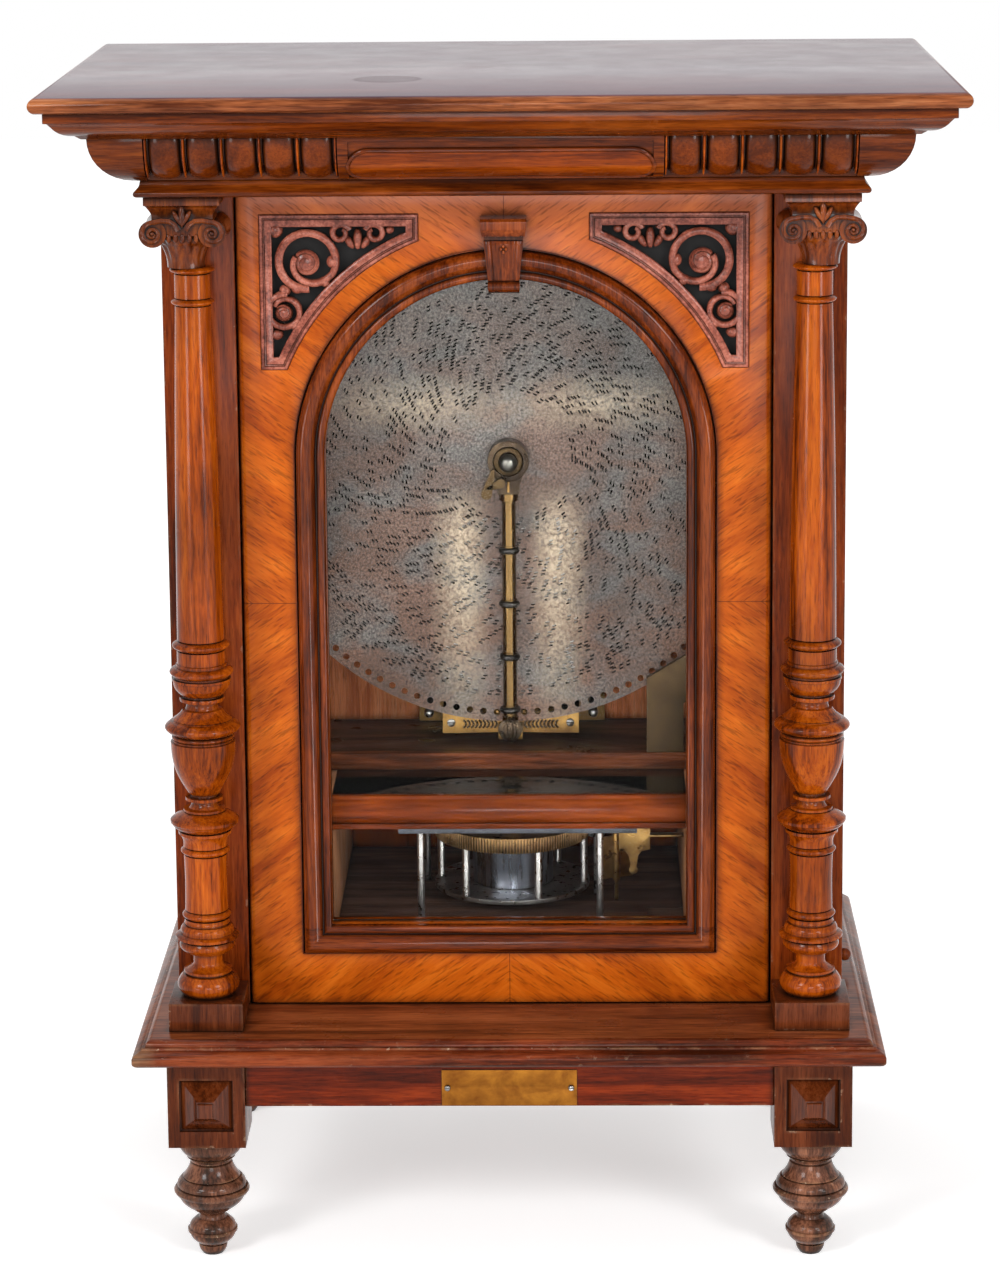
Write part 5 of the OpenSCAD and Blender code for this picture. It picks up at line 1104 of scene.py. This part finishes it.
def disc_rule():
    """Pairs of slits in slanting runs across the tracks, and a ring of holes, cut from a round sheet."""
    net, given = rule("disc_cutting", {
        "Float": ("Radius", "Thickness", "First Track", "Track Step", "Closest", "Share", "Loose",
                  "Hole Circle", "Hole Radius"),
        "Int": ("Tracks", "Places", "Seed", "Hole Count"), "Vector": ("Slit", "Slit Gap", "Centre"),
        "Material": ("Finish",)})
    calc, times, geo, add = net.calc, net.times, net.geo, net.add
    quarter = (math.pi / 2, 0, 0)
    blank = geo("MeshCylinder", {"Vertices": 360, "Radius": given["Radius"], "Depth": given["Thickness"]})
    sheet = geo("Transform", {"Geometry": blank, "Rotation": quarter})
    index = geo("InputIndex")
    track = calc("FLOOR", calc("DIVIDE", index, given["Places"]))
    at = calc("FLOORED_MODULO", index, given["Places"])
    reach = calc("MULTIPLY_ADD", track, given["Track Step"], given["First Track"])
    angle = times(calc("DIVIDE", at, given["Places"]), math.tau)
    spot = add("CombineXYZ", {"X": times(reach, calc("COSINE", angle)),
                              "Z": times(reach, calc("SINE", angle))})
    points = geo("Points", {"Count": times(given["Tracks"], given["Places"]), "Position": spot})
    room = calc("DIVIDE", times(given["Places"], given["Closest"]), times(reach, math.tau))
    lined = calc("FLOORED_MODULO", calc("ADD", at, track), calc("CEIL", room))
    slope = add("CombineXYZ", {"X": calc("MULTIPLY_ADD", at, 0.45, times(track, 0.30)),
                               "Y": times(track, 0.35)})
    runs = add("TexNoise", {"Vector": slope, "Scale": 1.0, "Detail": 2.0}, "Fac")
    chance = net.make("FunctionNodeRandomValue", {"Seed": given["Seed"]}, data_type="FLOAT").outputs[1]
    likely = calc("MULTIPLY_ADD", chance, given["Loose"], runs)
    drop = calc("MAXIMUM", calc("GREATER_THAN", lined, 0.5), calc("LESS_THAN", likely, given["Share"]))
    kept = geo("DeleteGeometry", {"Geometry": points, "Selection": drop}, domain="POINT")
    slit = geo("MeshCube", {"Size": given["Slit"]})
    pair = []
    for sign in (-0.5, 0.5):
        shift = add("VectorMath", {0: given["Slit Gap"], "Scale": sign}, operation="SCALE")
        pair.append(geo("Transform", {"Geometry": slit, "Translation": shift}))
    where = net.make("ShaderNodeSeparateXYZ", {"Vector": geo("InputPosition")}).outputs
    turn = add("CombineXYZ", {"Y": calc("SUBTRACT", math.pi / 2, calc("ARCTAN2", where["Z"], where["X"]))})
    cuts = geo("InstanceOnPoints", {"Points": kept, "Instance": net.join(*pair), "Rotation": turn})
    drill = geo("MeshCylinder", {"Vertices": 16, "Radius": given["Hole Radius"],
                                 "Depth": times(given["Thickness"], 4.0)})
    rim = geo("MeshCircle", {"Vertices": given["Hole Count"], "Radius": given["Hole Circle"]})
    holes = geo("InstanceOnPoints", {"Points": geo("Transform", {"Geometry": rim, "Rotation": quarter}),
                                     "Instance": geo("Transform", {"Geometry": drill, "Rotation": quarter})})
    tools = geo("RealizeInstances", {"Geometry": net.join(cuts, holes)})
    punched = geo("MeshBoolean", {0: sheet, 1: tools}, operation="DIFFERENCE", solver="MANIFOLD")
    net.end(geo("Transform", {"Geometry": punched, "Translation": given["Centre"]}), given["Finish"])
    return net.tree


disc_mesh = grow("punched_disc", disc_rule(), {
    "Radius": DISC_RADIUS * MM, "Thickness": span("tune_disc").y * MM, "Tracks": 35, "Places": 190,
    "First Track": 0.060, "Track Step": 0.0048, "Slit": Vector((3.8, 4, 1.5)) * MM,
    "Slit Gap": Vector((1.6, 0, 3.0)) * MM, "Closest": 0.0062, "Share": 0.81, "Loose": 0.5, "Seed": 4,
    "Hole Count": 120, "Hole Circle": 0.2415, "Hole Radius": 0.0031, "Centre": DISC * MM,
    "Finish": disc_steel})
show("punched_disc", disc_mesh, "disc", "disc_steel", disc_steel, ("tune_disc",))


# Pressure arm: tube with collars, round head with a ring and a ball, latch and husk

ARM_LOW = low("pressure_arm").z
ARM_TUBE_Y = high("pressure_arm").y - 7
TUBE_R, AXLE_R, COLLAR = 6.3, 3.0, 0.8
ROLLER_HEIGHTS = [middle("roller_%d" % i).z - ARM_LOW for i in (4, 3, 2, 1)]
ROLLER_GAP = span("roller_1").z / 2 + 0.4
HEAD_FRONT, HEAD_BACK = 25.5, 44.5
HEAD_R = high("pressure_arm").x
BALL_R = 8.5
NECK_Z = 663
LATCH_PLATES = (((-14, DISC.z - 9), 2.0, (-20, DISC.z - 30), 5.0),
                ((-18.5, DISC.z - 24.5), 1.6, (-7, NECK_Z + 10), 4.5))
HUSK_HALF = (10, 5, 11)
HUSK_Y = 27.4
HUSK_FLUTES, HUSK_COUNT = 18, 108


def arm_profile():
    profile = [(4, 0), *swell(6, 1, 5.6, 17.5, 0.6), (7.5, 18.5), (7.5, 21.5), (TUBE_R, 22.5)]
    for z in ROLLER_HEIGHTS:
        below, above = z - ROLLER_GAP, z + ROLLER_GAP
        collar = [(TUBE_R + COLLAR, below - 1.2), (TUBE_R + COLLAR, below), (AXLE_R, below), (AXLE_R, above),
                  (TUBE_R + COLLAR, above), (TUBE_R + COLLAR, above + 1.2)]
        profile += [(TUBE_R, below - 1.6), *collar, (TUBE_R, above + 1.6)]
    neck = NECK_Z - ARM_LOW
    return profile + [(TUBE_R, neck - 9), (TUBE_R + 2.5, neck - 8), (TUBE_R + 2.5, neck - 1), (TUBE_R, neck)]


def foot_flutes(angle, height):
    return 0.45 * math.cos(10 * angle) if 3 < height < 15 else 0


def pear(a, a_round, b, b_round, count=12):
    """Outline of a plate that spreads from a small round end to a large one."""
    heading = math.atan2(a[1] - b[1], a[0] - b[0])
    meet = math.acos((b_round - a_round) / math.dist(a, b))
    outline = []
    for spot, r, first, last in ((b, b_round, meet, math.tau - meet), (a, a_round, -meet, meet)):
        for t in shares(count):
            angle = heading + first + (last - first) * t
            outline.append((spot[0] + r * math.cos(angle), spot[1] + r * math.sin(angle)))
    return outline


def husk_row(polar):
    row = []
    for i in range(HUSK_COUNT):
        angle = math.tau * i / HUSK_COUNT
        r = math.sin(polar) * (1 + 0.07 * math.cos(HUSK_FLUTES * angle)) * (1.05 - 0.12 * math.cos(polar))
        row.append((HUSK_HALF[0] * r * math.cos(angle), HUSK_Y + HUSK_HALF[1] * r * math.sin(angle),
                    ARM_LOW + HUSK_HALF[2] * (1 - math.cos(polar))))
    return row


tube = Shape()
turned(tube, arm_profile(), 0, ARM_TUBE_Y, ARM_LOW, 60, foot_flutes)
carve("arm_tube", tube, "arm", "bronze", arm_brass, ("pressure_arm",), sharp=42)
casting = Shape()
NECK_STEPS = ((10, NECK_Z - 1), (10.5, NECK_Z + 8), (13.5, DISC.z - HEAD_R + 6))
casting.tube([[(a * half, HEAD_FRONT + 3 if b < 0 else HEAD_BACK, z) for a, b in SQUARE]
              for half, z in NECK_STEPS])
turned_y(casting, [(HEAD_R - 2, HEAD_BACK), (HEAD_R, HEAD_BACK - 1), (HEAD_R, HEAD_FRONT + 2.5),
                   *swell(HEAD_R, HEAD_FRONT + 2, HEAD_R - 5, HEAD_FRONT + 1, 1.2, 8),
                   (HEAD_R - 5.5, HEAD_FRONT + 2.4), (2, HEAD_FRONT + 2.4)], 0, DISC.z)
carve("arm_casting", casting, "arm", "bronze", bronze, ("pressure_arm",), sharp=42)
head_ring = Shape()
turned_y(head_ring, [(HEAD_R - 5.6, HEAD_FRONT + 3), (HEAD_R - 5.8, HEAD_FRONT + 0.4),
                     *swell(HEAD_R - 6, HEAD_FRONT, BALL_R + 0.6, HEAD_FRONT - 1.4, 0.4, 6),
                     (BALL_R - 1, HEAD_FRONT + 0.4), (3, HEAD_FRONT + 1)], 0, DISC.z)
carve("arm_head_ring", head_ring, "arm", "aged_brass", ring_brass)
ball = Shape()
egg(ball, (0, HEAD_FRONT - 6, DISC.z), (BALL_R, BALL_R, BALL_R), 0, 32, 20)
carve("arm_ball", ball, "arm", "black_steel", ball_steel)
neck_line = Shape()
ribbon(neck_line, [(0, NECK_Z + 1), (0, NECK_Z + 11)], 1.1, HEAD_FRONT + 2.2, HEAD_FRONT + 4, 0.5)
carve("arm_neck_line", neck_line, "arm", "aged_brass", brass)
latch = Shape()
for plate in LATCH_PLATES:
    latch.tube([[(x, y, z) for x, z in pear(*plate)] for y in (HEAD_FRONT - 2, HEAD_FRONT - 0.3)])
carve("arm_latch_finish", latch, "latch", "bronze", ring_brass, ("arm_latch",), bevel=0.3)
husk = Shape()
husk.tube([husk_row(math.pi * i / 16) for i in range(1, 16)])
carve("arm_foot_husk", husk, "arm", "bronze", bronze, sharp=50)


# Mainspring: one strip wound in its cage

SPRING_LOW, SPRING_TALL = low("mainspring").z, span("mainspring").z
SPRING_Y = middle("spring_arbor").y
SPRING_FIRST, SPRING_PITCH, SPRING_TURNS, SPRING_THICK = 11.75, 2.2, 12.45, 0.9
SPRING_STEPS = 60
spring = Shape()
strip_rows = []
for i in range(int(SPRING_TURNS * SPRING_STEPS) + 1):
    turns = min(i / SPRING_STEPS, SPRING_TURNS)
    strip = []
    for out, up in ((-0.5, 0), (0.5, 0), (0.5, 1), (-0.5, 1)):
        r = SPRING_FIRST + SPRING_PITCH * turns + out * SPRING_THICK
        strip.append((r * math.cos(math.tau * turns), SPRING_Y + r * math.sin(math.tau * turns),
                      SPRING_LOW + up * SPRING_TALL))
    strip_rows.append(strip)
spring.tube(strip_rows)
carve("wound_strip", spring, "drive", "blue_steel", blue_steel, ("mainspring",))


# Trim that the eye looks for inside the window, and the panes

CHEVRON_COUNT, CHEVRON_PITCH = 9, 3.6
CHEVRON_FIRST = (13, high("arm_bracket").y - 8, middle("arm_bracket").z - 1)
chevron = Shape()
ribbon(chevron, [(2.4, 3.6), (0.7, 2.2), (0, 0), (0.7, -2.2), (2.4, -3.6)], 0.8, -1.3, 0.3, 0.5)
chevrons = repeated("bracket_chevrons", form("chevron_form", chevron), CHEVRON_COUNT, CHEVRON_FIRST,
                    CHEVRON_PITCH, bronze)
show("bracket_chevrons", chevrons, "case", "gold_paint", bronze)

POST_R = span("guide_posts").z / 2
heads = Shape()
egg(heads, (high("guide_posts").x - POST_R, low("guide_posts").y, middle("guide_posts").z),
    (POST_R, 3.5, POST_R))
heads.mirrored()
carve("post_heads", heads, "case", "black_steel", steel)

STRAP_X, STRAP_Y, STRAP_Z = -62, low("cover_glass").y + 2, high("motor_floor").z
STRAP_PATH = ((0, 4), (4, 7), (26, 7), (34, 1))
strap = Shape()
ribbon(strap, [(STRAP_X + x, STRAP_Z + z) for x, z in STRAP_PATH], 0.8, STRAP_Y, STRAP_Y + 9, 0.1)
carve("motor_strap", strap, "case", "bright_steel", steel)

GLASS_EDGE = high("door_glass").x - WINDOW_HALF
glass = Shape()
glass.tube([window_line(GLASS_EDGE, y) for y in (low("door_glass").y, high("door_glass").y)])
carve("window_pane", glass, "door", "clear_glass", clear_glass, ("door_glass",), sharp=1)
cover = Shape()
box(cover, low("cover_glass"), high("cover_glass"))
carve("cover_pane", cover, "case", "clear_glass", cover_shade_glass, ("cover_glass",), sharp=1)


# The rest of the cabinet and movement in the frame's own form: slot, finish, eased edge and nodes

DRESSED = (
    ("case_walnut", case_upright, 0.9, "left_side_panel right_side_panel front_stiles back_panel"),
    ("case_walnut", low_upright, 0.7, "column_blocks foot_blocks"),
    ("case_walnut", base_long, 0.8, "base_board"),
    ("case_walnut", low_long, 0.8, "aprons"),
    ("carved_walnut", carved_long, 0.5, "head_frame bed_moulding frieze cornice_moulding"),
    ("carved_walnut", rail_wood, 0.5, "front_rail glass_bead"),
    ("carved_walnut", top_wood, 0.5, "top_board"),
    ("door_veneer", door_wood, 0.7, "door_panel"),
    ("inner_wood", inner_wood, 0.6, "movement_board"),
    ("inner_wood", cheek_wood, 0.6, "inner_cheeks"),
    ("inner_wood", case_upright, 0.6, "cash_drawer"),
    ("black_wood", shelf_wood, 0.8, "shelf"),
    ("black_wood", black_wood, 0.8, "motor_floor"),
    ("aged_brass", plate_brass, 0.25, "apron_plate"),
    ("aged_brass", chute_brass, 0.25, "coin_chute"),
    ("aged_brass", wheel_brass, 0.25, "great_wheel"),
    ("aged_brass", brass, 0.25, "door_pivots coin_lever governor_fly drive_sprocket"),
    ("bright_steel", dark_steel, 0.2, "motor_top_plate"),
    ("bronze", black_steel, 0.25, "roller_1 roller_2 roller_3 roller_4"),
    ("gold_paint", bed_gold, 0.5, "bedplate"),
    ("gold_paint", gold, 0.5, "arm_bracket"),
    ("bright_steel", steel, 0.2, "motor_pillars centre_spindle spring_cage spring_arbor winding_shaft click"),
    ("bright_steel", steel, 0.2, "governor_arbor star_wheels"),
    ("bright_steel", steel, 0, "combs screws"),
    ("black_steel", black_steel, 0.4, "guide_posts"))
for slot, finish, eased, names in DRESSED:
    for name in names.split():
        dress(name, slot, finish, eased)


# Stage, light and camera

AMBIENT = 0.3
FLOOR_HALF = 9
FLOOR_GLOW, FAR_GLOW = 0.5, 0.9
# Each lamp's name, place, the height it looks at, size and watts
LAMPS = (("key_left", (-1.9, -2.7, 2.2), 0.55, (0.9, 0.9), 48),
         ("key_right", (2.0, -2.7, 2.0), 0.55, (0.9, 0.9), 41),
         ("low_left", (-2.1, -2.5, 0.45), 0.35, (0.7, 0.5), 13),
         ("low_right", (2.1, -2.5, 0.45), 0.35, (0.7, 0.5), 16),
         ("front_fill", (0.1, -3.8, 1.0), 0.5, (1.2, 0.9), 32),
         ("top", (0, 0.2, 3.0), 0.5, (1.8, 1.4), 26))
CAMERA_SPOT = (0.0606, -3.4750, 1.3767)
CAMERA_YAW, CAMERA_PITCH, CAMERA_ROLL = (math.radians(a) for a in (-1.11, 10.78, -0.49))
CAMERA_LENS, CAMERA_SENSOR, CAMERA_SHIFT = 111.07, 36, -0.15


def studio():
    world = bpy.data.worlds.new("studio")
    world.use_nodes = True
    world.node_tree.nodes.clear()
    net = Net(world.node_tree)
    level = net.calc("MULTIPLY_ADD", net.seen(), 1.0 - AMBIENT, AMBIENT)
    sky = net.add("Background", {"Color": (1, 1, 1, 1), "Strength": level})
    net.make("ShaderNodeOutputWorld", {"Surface": sky})
    scene.world = world


def floor_finish():
    own = Finish("studio_floor")
    tone = own.ramp(own.noise(own.place(), 3, 2), (0.3, 0.88), (0.7, 0.92))
    away = own.add("VectorMath", {0: own.place()}, "Value", operation="LENGTH")
    glow = own.add("MapRange", {"Value": away, "From Min": 0.8, "From Max": 2.6, "To Min": FLOOR_GLOW,
                                "To Max": FAR_GLOW})
    return own.surface({
        "Base Color": tone, "Roughness": 0.9, "Specular IOR Level": 0.0, "Emission Color": (1, 1, 1, 1),
        "Emission Strength": own.times(own.seen(), glow)})


def set_floor():
    mesh = bpy.data.meshes.new("studio_floor")
    mesh.from_pydata([(a * FLOOR_HALF, b * FLOOR_HALF, 0) for a, b in SQUARE], [], [(0, 1, 2, 3)])
    mesh.materials.append(floor_finish())
    floor = bpy.data.objects.new("studio_floor", mesh)
    scene.collection.objects.link(floor)


def soft_light(name, spot, aim_height, size, watts):
    lamp = bpy.data.lights.new(name, "AREA")
    lamp.shape = "RECTANGLE"
    lamp.size, lamp.size_y = size
    lamp.energy = watts
    holder = bpy.data.objects.new(name, lamp)
    holder.location = spot
    holder.rotation_euler = (Vector((0, 0, aim_height)) - Vector(spot)).to_track_quat("-Z", "Y").to_euler()
    scene.collection.objects.link(holder)


def set_camera():
    level = math.cos(CAMERA_PITCH)
    ahead = Vector((math.sin(CAMERA_YAW) * level, math.cos(CAMERA_YAW) * level, -math.sin(CAMERA_PITCH)))
    right = Vector((math.cos(CAMERA_YAW), -math.sin(CAMERA_YAW), 0))
    up = right.cross(ahead)
    right, up = (right * math.cos(CAMERA_ROLL) + up * math.sin(CAMERA_ROLL),
                 up * math.cos(CAMERA_ROLL) - right * math.sin(CAMERA_ROLL))
    lens = bpy.data.cameras.new("photo_camera")
    lens.sensor_width = CAMERA_SENSOR
    lens.lens = CAMERA_LENS
    lens.shift_y = CAMERA_SHIFT
    holder = bpy.data.objects.new("photo_camera", lens)
    scene.collection.objects.link(holder)
    turn = Matrix((right, up, -ahead)).transposed().to_4x4()
    holder.matrix_world = Matrix.Translation(CAMERA_SPOT) @ turn
    scene.camera = holder


studio()
set_floor()
for lamp_facts in LAMPS:
    soft_light(*lamp_facts)
set_camera()
scene.view_settings.view_transform = "Standard"
